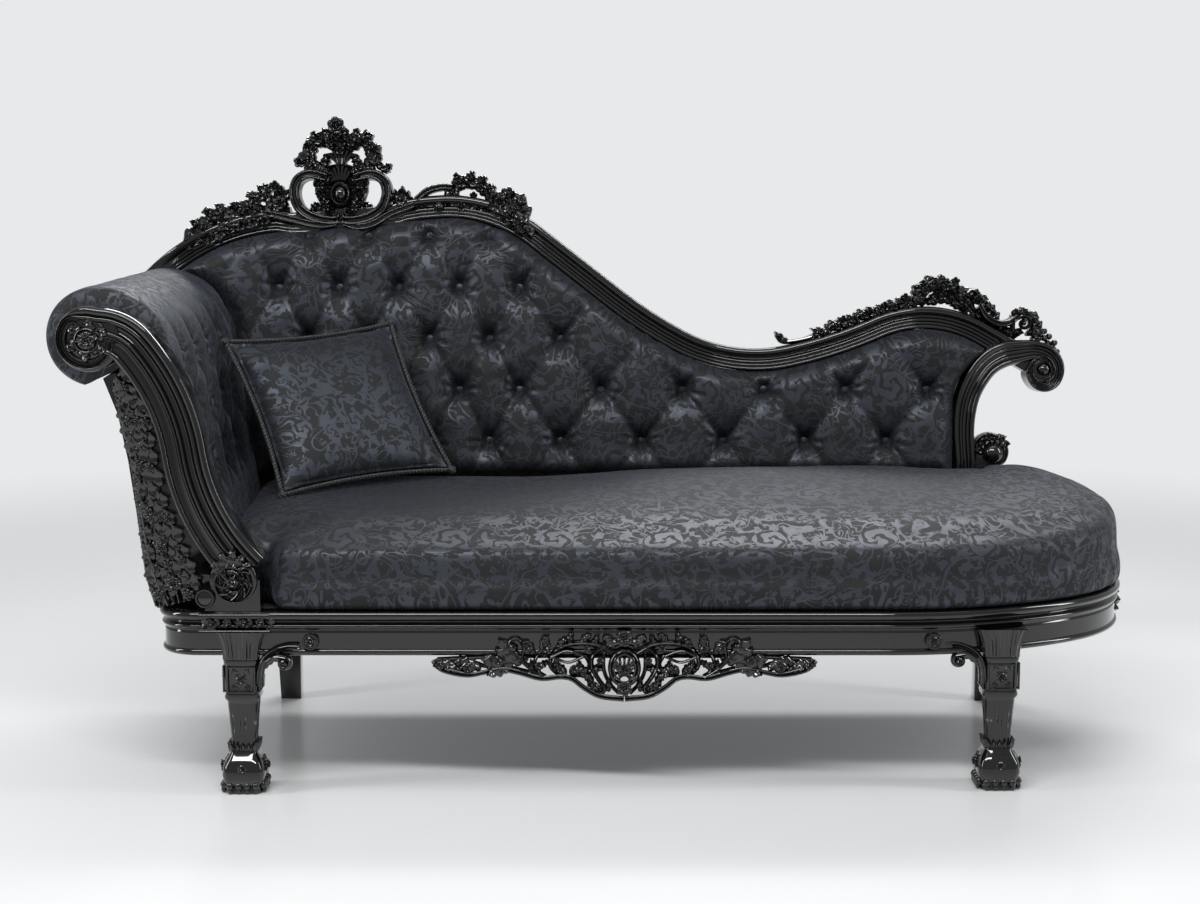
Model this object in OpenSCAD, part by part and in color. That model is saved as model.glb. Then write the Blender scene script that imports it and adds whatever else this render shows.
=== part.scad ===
// Chaise longue with a serpentine carved back, one scrolled arm and a round foot end.
// X runs along the seat, Y from front to back, Z up. The origin is on the floor, mid length and depth.

/* [Seat frame] */
// Height of the top of the seat rails above the floor
rail_top = 327; // [300:1:350]
// Height of a seat rail
rail_h = 80; // [72:1:92]
// Thickness of a seat rail
rail_t = 45; // [38:1:50]
// From the middle of the piece to the face of the left end rail
frame_left = 796; // [780:1:830]
// From the middle of the piece to the tip of the round right end
frame_right = 962; // [940:1:990]
// From the middle of the piece to the face of the front rail
frame_front = 372; // [365:1:385]
// From the middle of the piece to the face of the back rail
frame_back = 330; // [324:1:350]
// Radius of the front corner at the arm end
left_corner_r = 70; // [60:1:90]
// Where the front rail starts to bend into the round end
end_front_x = 500; // [440:5:540]
// Where the back rail starts to bend into the round end
end_back_x = 700; // [696:1:712]
// Radius of the front half of the round tip
end_tip_r = 290; // [270:1:300]
// Radius of the back corner of the round end
end_corner_r = 190; // [170:1:200]
// Height of the moulded cornice along the top of the rails
cornice_h = 32; // [30:1:36]
// Depth of the step for the webbing in the top of the rails
rebate = 3; // [3:0.1:3.4]
// Distance between the cross rails
cross_pitch = 390; // [340:5:400]

/* [Legs] */
// Left front leg, distance from the middle
leg_left_x = 650; // [645:1:660]
// Right front leg, distance from the middle
leg_right_x = 693; // [680:1:700]
// Left back leg, distance from the middle
leg_back_left_x = 660; // [640:1:680]
// Right back leg, distance from the middle
leg_back_right_x = 778; // [770:1:784]
// Width of a front leg at its block
leg_w = 62; // [58:1:66]
// Width of the capital under the cornice
capital_w = 86; // [80:1:90]
// Width of the shaft at its foot
ankle_w = 44; // [38:1:50]
// Height of the scrolled foot
foot_h = 76; // [70:1:84]
// Width of a back leg at its top
back_leg_w = 54; // [48:1:60]
// Diameter of a leg bolt
bolt_d = 8; // [6:1:10]

/* [Back frame] */
// Lean of the back, in degrees
rake = 5; // [3:0.5:7]
// Front face of the back frame, at the height of the seat rails
back_y = 275; // [270:1:277]
// Thickness of the back frame
back_t = 45; // [38:1:48]
// Width of the moulded top rail
top_rail_w = 46; // [40:1:50]
// Radius of the shoulder above the arm
shoulder_r = 400; // [390:1:410]
// Radius at the right of the crown
crown_r = 290; // [280:1:300]
// Length of the straight descent
descent = 205; // [195:1:215]
// Radius of the dip
dip_r = 330; // [320:1:340]
// Radius of the low hump at the foot end
hump_r = 235; // [228:1:242]
// Radius of the middle of the C scroll
c_r = 90; // [86:1:94]
// Radius of the volute at the end of the back
volute_r = 44; // [40:1:47]
// Thickness of the board behind the tufted back
board_t = 9; // [6:1:12]

/* [Arm] */
// Radius of the upholstered roll of the arm
roll_r = 88; // [84:1:92]
// Thickness of the padding on the arm
arm_pad_t = 35; // [32:1:37]
// Width of the moulded front post
post_w = 80; // [74:1:84]
// Thickness of the arm posts
post_t = 50; // [44:1:54]
// Radius of the wooden volute of the front post
post_volute_r = 59; // [57:1:62]
// Radius of the carved swirl at the foot of the post
swirl_r = 46; // [42:1:47]

/* [Upholstery] */
// Height of the seat's front edge above the floor
seat_h = 446; // [425:1:455]
// Rise of the seat towards the back
seat_rise = 38; // [20:1:38]
// Crown in the middle of the seat
seat_crown = 22; // [10:1:22]
// Bulge of the seat beyond the face of the rails
seat_out = 14; // [9:1:18]
// Height of the tufted back above its frame's face
pad_h = 38; // [32:1:42]
// Depth of the tufts
tuft_d = 26; // [18:1:27]
// Distance between buttons where the back is tall
tuft_pitch = 122; // [116:2:130]
// Distance between buttons where the back is low
tuft_pitch_low = 166; // [158:2:172]
// Distance between rows of buttons
tuft_row = 104; // [98:1:110]
// Radius of a covered button
button_r = 10; // [8:0.5:11]
// Side of the loose pillow
pillow_side = 345; // [320:5:350]
// Thickness of the pillow at its middle
pillow_t = 120; // [90:5:125]
// Diameter of the pillow's cord
pillow_cord_d = 10; // [8:0.5:11]

/* [Carving] */
// Thickness of the carved crest
crest_t = 26; // [20:1:30]
// Middle of the crest along the back
crest_x = -545; // [-560:1:-535]
// Radius of the two loops of the crest
crest_loop_r = 54; // [50:1:56]
// Half width of the carved apron
apron_half = 338; // [320:1:350]
// Middle of the apron along the front rail
apron_x = 25; // [10:1:40]
// Drop of the apron below the rail
apron_drop = 82; // [74:1:88]
// Thickness of the apron
apron_t = 22; // [18:1:24]

/* [Hidden] */

black = [0.03, 0.03, 0.035];
damask = [0.13, 0.14, 0.17];
damask_light = [0.2, 0.21, 0.25];
jute = [0.55, 0.45, 0.32];
plywood = [0.62, 0.5, 0.36];
cambric = [0.08, 0.08, 0.08];
steel = [0.6, 0.6, 0.62];

// Facets of small and of large curves
$fn = 48;
fine = 180;
// Far enough to cut right through anything
far = 3000;
// Clearance round soft pieces
soft_gap = 0.3;
// Clearance of boards and of bolts in their holes
fit_gap = 0.25;

rail_bottom = rail_top - rail_h;

// Paths. A path starts at [x, y, heading] and runs through pieces [radius, turn]: a positive
// turn goes left, a negative one right, and radius 0 runs straight for turn millimetres.
function arc_centre(p, q) =
    let (side = sign(q[1])) [p.x - side * q[0] * sin(p.z), p.y + side * q[0] * cos(p.z)];
function piece_end(p, q) =
    q[0] == 0 ? [p.x + q[1] * cos(p.z), p.y + q[1] * sin(p.z), p.z]
    : let (side = sign(q[1]), c = arc_centre(p, q), h = p.z + q[1])
      [c.x + side * q[0] * sin(h), c.y - side * q[0] * cos(h), h];
function stations(start, pieces) =
    [for (i = 0, p = start; i <= len(pieces);
          p = i < len(pieces) ? piece_end(p, pieces[i]) : p, i = i + 1) p];

// Sweeps a profile along pieces first to last of a path. The profile's +X lies left of the way.
// A trim leaves that much of a joint line open at the end of each piece.
module sweep(start, pieces, first = 0, last = -1, trim = 0) {
    ends = stations(start, pieces);
    stop = last < 0 ? len(pieces) - 1 : last;
    for (i = [first : stop]) {
        p = ends[i];
        q = pieces[i];
        if (q[0] == 0)
            translate([p.x, p.y, 0]) rotate([0, 0, p.z]) rotate([90, 0, 90])
                linear_extrude(q[1] - trim) children();
        else {
            c = arc_centre(p, q);
            left = q[1] > 0;
            less = trim / q[0] * 180 / PI;
            translate([c.x, c.y, 0]) rotate([0, 0, left ? p.z - 90 : p.z + q[1] + 90 + less])
                rotate_extrude(angle = abs(q[1]) - less, $fn = fine)
                    translate([q[0], 0]) mirror([left ? 1 : 0, 0]) children();
        }
    }
}

// The lengths of a bent rail are joined by tenons, w wide and from z1 to z2 deep
joint_line = 0.05;
module tenons(start, pieces, first, last, w, z1, z2) {
    ends = stations(start, pieces);
    for (i = [first : last])
        translate([ends[i].x, ends[i].y, z1]) rotate([0, 0, ends[i].z])
            translate([-12, -w / 2, 0]) cube([24, w, z2 - z1]);
}

// Seat frame in plan, clockwise from the back left corner, so that the outside lies left
mid_y = (frame_back - frame_front) / 2;
half_d = (frame_back + frame_front) / 2;
front_len = frame_right - end_front_x;
front_r = (pow(front_len - end_tip_r, 2) + pow(half_d, 2) - pow(end_tip_r, 2))
    / (2 * (half_d - end_tip_r));
front_a = atan2(front_r - half_d, front_len - end_tip_r);
rear_len = frame_right - end_back_x;
rear_r = (pow(rear_len, 2) + pow(half_d - end_corner_r, 2) - pow(end_corner_r, 2))
    / (2 * (rear_len - end_corner_r));
rear_a = atan2(half_d - end_corner_r, end_back_x - frame_right + rear_r);
plan_start = [-frame_left + rail_t, frame_back, 0];
plan_pieces = [
    [0, end_back_x + frame_left - rail_t],
    [end_corner_r, rear_a - 90],
    [rear_r, -rear_a],
    [end_tip_r, -front_a],
    [front_r, front_a - 90],
    [0, end_front_x + frame_left - left_corner_r],
    [left_corner_r, -90],
    [0, frame_back + frame_front - left_corner_r]
];
// Edge of the plan in front of and behind x, drawn in by inset
function plan_front(x, inset) =
    x <= end_front_x ? -frame_front + inset
    : x <= end_front_x + (front_r - inset) * cos(front_a)
    ? mid_y + front_r - half_d - sqrt(pow(front_r - inset, 2) - pow(x - end_front_x, 2))
    : mid_y - sqrt(max(0, pow(end_tip_r - inset, 2) - pow(x - frame_right + end_tip_r, 2)));
function plan_back(x, inset) =
    x <= end_back_x ? frame_back - inset
    : x <= end_back_x + (end_corner_r - inset) * cos(rear_a)
    ? frame_back - end_corner_r + sqrt(pow(end_corner_r - inset, 2) - pow(x - end_back_x, 2))
    : mid_y + sqrt(max(0, pow(rear_r - inset, 2) - pow(x - frame_right + rear_r, 2)));

// The plan as a flat shape, drawn in by inset
plan_steps = 24;
module plan_shape(inset) {
    xs = [for (i = [0 : plan_steps])
        end_front_x + (frame_right - inset - end_front_x) * sin(90 * i / plan_steps)];
    corner = left_corner_r - inset;
    turn = [for (i = [0 : 6]) [
        -frame_left + left_corner_r - max(corner, 1) * cos(15 * i),
        -frame_front + left_corner_r - max(corner, 1) * sin(15 * i)]];
    polygon(concat(
        [[-frame_left + inset, frame_back - inset]],
        turn,
        [for (x = xs) [x, plan_front(x, inset)]],
        [for (i = [plan_steps - 1 : -1 : 0]) [xs[i], plan_back(xs[i], inset)]]));
}

// Section of a seat rail: reeds on the cornice, a plain fascia and a bead along the bottom
top_reed = 8;
small_reed = 4.4;
bottom_bead = 6;
land = rail_t / 2;
module rail_section() {
    translate([-rail_t, rail_bottom]) square([rail_t, rail_h - rebate]);
    translate([-land, rail_bottom]) square([land, rail_h]);
    translate([1, rail_top - top_reed - 0.4]) circle(top_reed);
    translate([0.6, rail_top - cornice_h + 3 * small_reed - 1]) circle(small_reed);
    translate([0.4, rail_top - cornice_h + small_reed - 1.5]) circle(small_reed - 0.5);
    translate([-1.6, rail_bottom + bottom_bead + 0.4]) circle(bottom_bead);
}
module rail_block() {
    translate([-rail_t, rail_bottom]) square([rail_t, rail_h]);
}
module rail_run(first, last) {
    sweep(plan_start, plan_pieces, first, last) rail_section();
}

// The legs stand in notches of the rails, up to the cornice
notch_top = rail_top - cornice_h - 1;
leg_y = -frame_front + leg_w / 2 - 14;
leg_right_y = plan_front(leg_right_x, 0) + leg_w / 2 - 26;
back_leg_y = frame_back - back_leg_w / 2 - 6;
back_right_y = plan_back(leg_back_right_x, 0) - back_leg_w / 2 - 6;
module notch(x, y, w) {
    translate([x - w / 2, y - rail_t - w / 2, rail_bottom - 1])
        cube([w, 2 * rail_t + w, notch_top - rail_bottom + 1]);
}

module front_rail() color(black) difference() {
    rail_run(5, 5);
    notch(-leg_left_x, leg_y, leg_w);
}
module end_rail() color(black) difference() {
    rail_run(1, 4);
    notch(leg_right_x, leg_right_y, leg_w);
    notch(leg_back_right_x, back_right_y, back_leg_w);
}
module back_rail() color(black) difference() {
    rail_run(0, 0);
    notch(-leg_back_left_x, back_leg_y, back_leg_w);
}
module left_end_rail() color(black) rail_run(6, 7);

// Stretchers between the front and the back rail
cross_w = 60;
cross_h = 42;
cross_z = rail_bottom + 16;
// The right one stands at the end of the straight rails
cross_last_x = end_front_x - cross_w - 4;
module cross_rails() color(plywood)
    for (i = [0 : 2])
        translate([cross_last_x - i * cross_pitch, -frame_front + rail_t, cross_z])
            cube([cross_w, frame_front + frame_back - 2 * rail_t, cross_h]);

// A glued block behind each leg takes the bolt
block_w = 90;
block_d = 36;
block_h = 50;
bolt_z = rail_bottom + 26;
bolt_head = 5;
// Each leg: x, y, facing (1 has the inside towards +Y), face of its rail at x
leg_places = [
    [-leg_left_x, leg_y, 1, -frame_front],
    [leg_right_x, leg_right_y, 1, plan_front(leg_right_x, 0)],
    [-leg_back_left_x, back_leg_y, -1, frame_back],
    [leg_back_right_x, back_right_y, -1, plan_back(leg_back_right_x, 0)]
];
function block_face(g) = g[3] + g[2] * (rail_t + block_d);
module at_block(g) {
    translate([g.x, block_face(g), bolt_z]) rotate([90 * g[2], 0, 0]) children();
}
module bolt_holes() for (g = leg_places) at_block(g)
    translate([0, 0, -1]) cylinder(d = bolt_d + 2 * fit_gap, h = block_d + rail_t - 8);
module leg_blocks() color(plywood) difference() {
    for (g = leg_places)
        translate([g.x - block_w / 2, g[2] > 0 ? g[3] : g[3] - rail_t - block_d, rail_bottom + 1])
            cube([block_w, rail_t + block_d, block_h]);
    sweep(plan_start, plan_pieces, 0, 5)
        translate([-rail_t, rail_bottom - 1]) square([rail_t + 40, rail_h + 2]);
    for (g = [leg_places[0], leg_places[1]])
        translate([g.x - capital_w / 2 - 0.05, g.y - far / 2, rail_bottom - 1])
            cube([capital_w + 0.1, far / 2 + leg_w / 2 + 2.05, rail_h]);
    bolt_holes();
}
module leg_bolts() color(steel) for (g = leg_places) at_block(g) {
    cylinder(d = bolt_d, h = block_d + rail_t - 16);
    translate([0, 0, -bolt_head]) cylinder(d = bolt_d * 1.7, h = bolt_head, $fn = 6);
}

// A block that tapers evenly from w1 at the bottom to w2 at the top
module taper(w1, w2, h, d1, d2) {
    intersection() {
        rotate([90, 0, 0]) translate([0, 0, -far / 2]) linear_extrude(far)
            polygon([[-w1 / 2, 0], [w1 / 2, 0], [w2 / 2, h], [-w2 / 2, h]]);
        rotate([90, 0, 90]) translate([0, 0, -far / 2]) linear_extrude(far)
            polygon([[-d1 / 2, 0], [d1 / 2, 0], [d2 / 2, h], [-d2 / 2, h]]);
    }
}
// Capital: a bell that flares up to the cornice, with flutes
capital_h = notch_top - rail_bottom;
bell_z = rail_bottom - 6;
flute_r = 3;
module capital() {
    flare = (capital_w - leg_w) / 2;
    depth = leg_w + 8;
    difference() {
        translate([-capital_w / 2, -depth / 2 - 2, bell_z]) cube([capital_w, depth, notch_top - bell_z]);
        for (s = [-1, 1])
            translate([s * (capital_w / 2 + 10), -far / 2, bell_z]) rotate([-90, 0, 0])
                cylinder(r = flare + 10, h = far);
        for (i = [-3 : 3])
            translate([i * 9, -depth / 2 - 3, bell_z - 1]) cylinder(r = flute_r, h = capital_h - 4);
    }
}
shaft_z = foot_h + 4;
block_z = 173;
module fluted_shaft() {
    h = block_z - shaft_z;
    top_w = leg_w - 6;
    difference() {
        translate([0, 0, shaft_z]) taper(ankle_w, top_w, h, ankle_w, top_w);
        for (a = [0 : 90 : 270], i = [-1 : 1])
            rotate([0, 0, a]) translate([i * 12, -top_w / 2 - 0.5, shaft_z + 8])
                rotate([-atan2((top_w - ankle_w) / 2, h), 0, 0])
                    translate([0, 0, -2]) cylinder(r = flute_r + 0.4, h = h - 12);
    }
}
// Foot: a scroll seen from the side, with four toes on a low plinth
toe_r = 10;
module scroll_foot() {
    foot_w = leg_w + 10;
    scroll_r = (foot_h - 12) / 2;
    translate([-foot_w / 2, -foot_w / 2, 0]) cube([foot_w, foot_w, 12]);
    translate([-foot_w / 2 + 3, 0, 10 + scroll_r]) rotate([0, 90, 0])
        cylinder(r = scroll_r, h = foot_w - 6);
    translate([0, 0, foot_h - 14]) taper(ankle_w + 8, ankle_w, 20, ankle_w + 8, ankle_w);
    for (i = [0 : 3])
        translate([-foot_w / 2 + foot_w / 8 + i * foot_w / 4, -foot_w / 2 + toe_r + 1, 15])
            sphere(toe_r - 1);
}
module front_leg_shape() {
    scroll_foot();
    fluted_shaft();
    translate([-leg_w / 2, -leg_w / 2, block_z - 1]) difference() {
        cube([leg_w, leg_w, rail_bottom - block_z + 1]);
        for (y = [-1, leg_w - 2])
            translate([10, y, 12]) cube([leg_w - 20, 3, rail_bottom - block_z - 26]);
    }
    capital();
}
// The stump fills the notch in the rail
module stump(x, y, w) {
    intersection() {
        translate([x - w / 2, y - rail_t - w / 2, rail_bottom - 1])
            cube([w, 2 * rail_t + w, notch_top - rail_bottom + 1]);
        sweep(plan_start, plan_pieces, 0, 5) rail_block();
    }
}
module front_leg(g) difference() {
    union() {
        difference() {
            translate([g.x, g.y, 0]) front_leg_shape();
            sweep(plan_start, plan_pieces, 1, 5) {
                rail_section();
                translate([-2 * rail_t, rail_bottom]) square([rail_t + 1, rail_h]);
            }
            translate([-far / 2, g[3] + rail_t, rail_bottom]) cube([far, far, far]);
        }
        stump(g.x, g.y, leg_w);
    }
    bolt_holes();
}
module front_left_leg() color(black) front_leg(leg_places[0]);
module front_right_leg() color(black) front_leg(leg_places[1]);

// Back legs: plain tapered sabre legs, splayed backwards at the foot
module back_leg(g) difference() {
    union() {
        stump(g.x, g.y, back_leg_w);
        intersection() {
            translate([g.x, g.y, 0]) rotate([90, 0, 0]) translate([0, 0, -far / 2])
                linear_extrude(far) polygon([
                    [-back_leg_w * 0.38, 0], [back_leg_w * 0.38, 0],
                    [back_leg_w / 2 - 0.8, rail_bottom + 0.6],
                    [0.8 - back_leg_w / 2, rail_bottom + 0.6]]);
            translate([g.x - back_leg_w, g.y, 0]) rotate([90, 0, 90]) linear_extrude(2 * back_leg_w)
                polygon([
                    [0.8 - back_leg_w / 2, rail_bottom + 0.6], [-back_leg_w * 0.42, rail_bottom * 0.6],
                    [-back_leg_w * 0.2, rail_bottom * 0.25], [0, 0], [back_leg_w * 0.7, 0],
                    [back_leg_w * 0.52, rail_bottom * 0.3], [back_leg_w / 2, rail_bottom * 0.6],
                    [back_leg_w / 2 - 0.8, rail_bottom + 0.6]]);
        }
    }
    bolt_holes();
}
module back_left_leg() color(black) back_leg(leg_places[2]);
module back_right_leg() color(black) back_leg(leg_places[3]);

// A small flower: petals round a domed middle, lying in XY, facing +Z
module rosette(r, t, petals = 6) {
    linear_extrude(t * 0.7) for (i = [0 : petals - 1])
        rotate(360 * i / petals) translate([r * 0.58, 0]) circle(r * 0.42);
    cylinder(r = r * 0.5, h = t * 0.8);
    translate([0, 0, t * 0.7]) sphere(min(r * 0.34, t * 0.68));
}
// A leaf of length l and width w from the origin along +X
module leaf_flat(l, w) {
    bow = (l * l / 4 + w * w / 4) / w;
    intersection() {
        translate([l / 2, w / 2 - bow]) circle(bow, $fn = fine);
        translate([l / 2, bow - w / 2]) circle(bow, $fn = fine);
    }
}
module leaf(l, w, t) linear_extrude(t) leaf_flat(l, w);
// A flat ring of outer radius r and width w
module ring(r, w, t) linear_extrude(t) difference() {
    circle(r);
    circle(r - w);
}

// Stands a shape drawn in X and height on the plane y, facing the front
module facing_front(y) translate([0, y, 0]) rotate([90, 0, 0]) children();

// Scrolled brackets between the front legs and the rail
bracket_t = 22;
bracket_r = 30;
module bracket(x, y, side) translate([x, y, rail_bottom + 1]) rotate([90, 0, 0]) {
    mirror([side < 0 ? 1 : 0, 0, 0]) {
        translate([0, 0, -bracket_t]) linear_extrude(bracket_t) union() {
            difference() {
                circle(bracket_r);
                circle(bracket_r - 12);
                translate([-far / 2, -far]) square(far);
                translate([6, -6]) square(far);
            }
            translate([-bracket_r, -40]) square([12, 41]);
            translate([0, bracket_r - 12]) square([22, 12]);
            translate([2, 0]) circle(11);
            translate([-bracket_r + 4, -3]) square([26, 6]);
        }
        translate([2, 0, 0]) sphere(7);
    }
}
module leg_brackets() color(black) difference() {
    union() {
        bracket(-leg_left_x + leg_w / 2 + bracket_r, -frame_front - 12, 1);
        bracket(leg_right_x - leg_w / 2 - bracket_r, leg_right_y - leg_w / 2 + 2, -1);
    }
    sweep(plan_start, plan_pieces, 4, 5) rail_section();
    for (g = [leg_places[0], leg_places[1]])
        translate([g.x, g.y, 0]) {
            translate([-leg_w / 2, -leg_w / 2 - 20, 0]) cube([leg_w, leg_w + 20, rail_bottom]);
            translate([-capital_w / 2, -far / 2, bell_z]) cube([capital_w, far, far]);
        }
}

// Turned rosettes on the rail beside the brackets
rail_rosette_r = 15;
rosette_reach = 92;
module rail_rosettes() color(black) difference() {
    for (x = [-leg_left_x + leg_w / 2 + rosette_reach, leg_right_x - leg_w / 2 - rosette_reach])
        translate([x, plan_front(x, 0) + 4, rail_bottom + 26]) rotate([90, 0, 0]) {
            cylinder(r = rail_rosette_r, h = 9);
            rosette(rail_rosette_r - 3, 16, 6);
        }
    sweep(plan_start, plan_pieces, 4, 5) rail_section();
}

// Pierced carved apron under the front rail: a cartouche between chains of scrolls
scroll_w = 9;
module apron_half_shape() {
    z = rail_bottom - 12;
    pitch = apron_half * 0.128;
    for (i = [1 : 5]) {
        r = 27 - 1.8 * i;
        translate([pitch * i, z - 6 + 4 * i - (i == 1 ? 8 : 0)]) difference() {
            circle(r);
            circle(r - scroll_w);
        }
    }
    translate([pitch, z - 40]) difference() {
        circle(19);
        circle(11);
    }
    for (i = [0 : 2])
        translate([pitch * (5.1 + i * 0.72), z + 7]) rotate([0, 0, -16])
            scale(1 - 0.16 * i) intersection() {
                translate([34, 40 - 62]) circle(62, $fn = fine);
                translate([34, 22 - 0]) circle(62 - 22 - 22, $fn = fine);
                circle(80);
            }
    translate([0, z - 8]) square([apron_half * 0.93, scroll_w]);
}
module apron_carving() color(black) difference() {
    translate([apron_x, 0, 0]) {
        facing_front(-frame_front - 8 + apron_t) linear_extrude(apron_t) {
            apron_half_shape();
            mirror([1, 0]) apron_half_shape();
            for (k = [[0, 15, 30], [0, -apron_drop + 42, 27], [0, -apron_drop + 25, 14]])
                translate([k.x, rail_bottom + k.y - 14]) circle(k.z);
        }
        facing_front(-frame_front - 8) for (k = [[24, 20], [-24, 24], [-apron_drop + 12, 13]])
            translate([0, rail_bottom + k[0], -2]) rosette(k[1], 9, 7);
    }
    sweep(plan_start, plan_pieces, 5, 5) {
        rail_section();
        translate([-rail_t, rail_bottom]) square([rail_t, rail_h]);
    }
}

// Small carved cartouches on the round end and on the left end
module end_cartouches() color(black) difference() {
    z = rail_bottom + rail_h / 2;
    union() {
        translate([frame_right - 4, mid_y, z]) rotate([0, 90, 0]) rosette(27, 17, 8);
        translate([-frame_left + 4, mid_y, z]) rotate([0, -90, 0]) rosette(27, 17, 8);
    }
    sweep(plan_start, plan_pieces, 2, 7) rail_section();
}

// Jute webbing, stretched across the frame in both directions
web_w = 60;
web_t = rebate / 2;
web_pitch = 92;
web_z = rail_top - rebate;
web_inset = land + 3;
module cross_webbing() color(jute) intersection() {
    for (x = [-frame_left + 95 : web_pitch : frame_right - 150])
        translate([x - web_w / 2, -far / 2, web_z]) cube([web_w, far, web_t]);
    linear_extrude(far) plan_shape(web_inset);
}
module long_webbing() color(jute) intersection() {
    for (i = [-1.5 : 1 : 1.5])
        translate([-far / 2, mid_y + i * 130 - web_w / 2, web_z + web_t]) cube([far, web_w, web_t]);
    linear_extrude(far) plan_shape(web_inset);
}

// Black cloth under the seat
dust_t = 0.8;
module dust_cover() color(cambric) translate([0, 0, rail_bottom - dust_t]) linear_extrude(dust_t)
    difference() {
        plan_shape(14);
        for (g = leg_places)
            translate([g.x, g.y]) square(leg_w + 16, center = true);
        translate([apron_x - apron_half, -frame_front - 30]) square([2 * apron_half, 48]);
        for (s = [[-leg_left_x, 1], [leg_right_x, -1]])
            translate([s[0] + s[1] * 80 - 60, -frame_front - 30]) square([120, 110]);
    }

// Seat cushion: a grid over the plan, with rounded edges and bulging sides
seat_bottom = rail_top;
seat_inset = 24;
seat_left = -699;
seat_notch_x = -leg_left_x + 54;
seat_back = back_y - 7;
stem_x = 726;
stem_right = stem_x + back_t / 2 + 8;
function seat_edge_z(y) = seat_h + seat_rise * (y + frame_front) / (frame_back + frame_front);
function seat_front_y(x, inset) =
    x < seat_notch_x ? -frame_front + post_t + 9 + inset : plan_front(x, inset - seat_out);
function seat_back_y(x, inset) =
    x < stem_right ? seat_back - inset : plan_back(x, inset - seat_out);
seat_tip = frame_right + seat_out - seat_inset - 2;
seat_cols = concat(
    [seat_left + seat_inset, seat_left + 60, seat_notch_x - 1, seat_notch_x + seat_inset],
    [for (i = [0 : 11]) seat_notch_x + 70 + i * (end_front_x - seat_notch_x - 70) / 11],
    [for (i = [1 : 4]) end_front_x + i * (stem_right - end_front_x) / 4 - (i == 4 ? 1 : 0)],
    [stem_right + seat_inset + 1],
    [for (i = [1 : 9]) stem_right + seat_inset + (seat_tip - stem_right - seat_inset) * sin(10 * i)]);
seat_rows = [for (i = [0 : 11]) (1 - cos(180 * i / 11)) / 2];
function end_cap(x) = 1 - pow(max(0, (x - 300) / (frame_right + seat_out - 300)), 4);
function seat_top(x, y, t) =
    seat_edge_z(y) + seat_crown * (1 - pow(abs(2 * t - 1), 3.2)) * end_cap(x);
function seat_point(x, t) =
    let (f = seat_front_y(x, seat_inset), b = max(f + 30, seat_back_y(x, seat_inset)),
         y = f + (b - f) * t) [x, y, seat_top(x, y, t)];
// Ring of the top's edge, anticlockwise from the front left
function grid_ring(nx, ny) = concat(
    [for (i = [0 : nx - 1]) i * ny],
    [for (j = [1 : ny - 1]) (nx - 1) * ny + j],
    [for (i = [nx - 2 : -1 : 0]) i * ny + ny - 1],
    [for (j = [ny - 2 : -1 : 1]) j]);
function side_out(a, b) = let (d = b - a, l = norm([d.x, d.y])) [d.y / l, -d.x / l];
// Levels of the side, [outwards from the top's edge, share of the height]
seat_side = [[11, 0.965], [18, 0.88], [22.5, 0.72], [24, 0.45], [22, 0.2], [18, 0]];
module seat_cushion() {
    nx = len(seat_cols);
    ny = len(seat_rows);
    top = [for (x = seat_cols, t = seat_rows) seat_point(x, t)];
    loop = grid_ring(nx, ny);
    n = len(loop);
    side = [for (s = seat_side, k = [0 : n - 1])
        let (p = top[loop[k]], o = side_out(top[loop[(k + n - 1) % n]], top[loop[(k + 1) % n]]))
        [p.x + s[0] * o.x, p.y + s[0] * o.y, seat_bottom + s[1] * (p.z - seat_bottom)]];
    function on_level(l, k) = l < 0 ? loop[k % n] : nx * ny + l * n + k % n;
    last = len(seat_side) - 1;
    right = nx - 1;
    faces = concat(
        [for (i = [0 : nx - 2], j = [0 : ny - 2]) each [
            [i * ny + j, i * ny + j + 1, (i + 1) * ny + j],
            [(i + 1) * ny + j, i * ny + j + 1, (i + 1) * ny + j + 1]]],
        [for (l = [-1 : last - 1], k = [0 : n - 1]) each [
            [on_level(l, k), on_level(l, k + 1), on_level(l + 1, k)],
            [on_level(l, k + 1), on_level(l + 1, k + 1), on_level(l + 1, k)]]],
        [for (i = [1 : nx - 3]) each [
            [on_level(last, i), on_level(last, i + 1), on_level(last, n - ny - i)],
            [on_level(last, i), on_level(last, n - ny - i), on_level(last, n - ny + 1 - i)]]],
        [[for (k = [right - 1 : right + ny]) on_level(last, k)]],
        [[on_level(last, 1), for (k = [n - ny : n]) on_level(last, k)]]);
    color(damask) polyhedron(concat(top, side), faces, convexity = 6);
}

// The back frame leans. Its own plane has X along the seat, Y up the slope from the rails and
// Z forwards from the front face.
module on_back(d = 0)
    translate([0, back_y, rail_top]) rotate([90 - rake, 0, 0]) translate([0, 0, d]) children();
module above_rails() difference() {
    children();
    translate([-far / 2, -far / 2, rail_top - far]) cube([far, far, far]);
}
function lean_y(z, d) = back_y + (z - rail_top) * tan(rake) - d / cos(rake);
function lean_z(v, d) = rail_top + v * cos(rake) + d * sin(rake);

// Middle line of the serpentine top rail, from behind the arm to the volute
shoulder_end = [-676.44, 663.36];
back_start = [shoulder_end.x - shoulder_r * (sin(50) - sin(5)),
    shoulder_end.y - shoulder_r * (cos(5) - cos(50)), 50];
back_pieces = [
    [shoulder_r, -45], [0, 325], [crown_r, -43], [0, descent], [900, 10], [dip_r, 40],
    [900, 12], [hump_r, -54], [0, 115]
];
back_ends = stations(back_start, back_pieces);
rail_tip = back_ends[len(back_pieces)];
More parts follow.
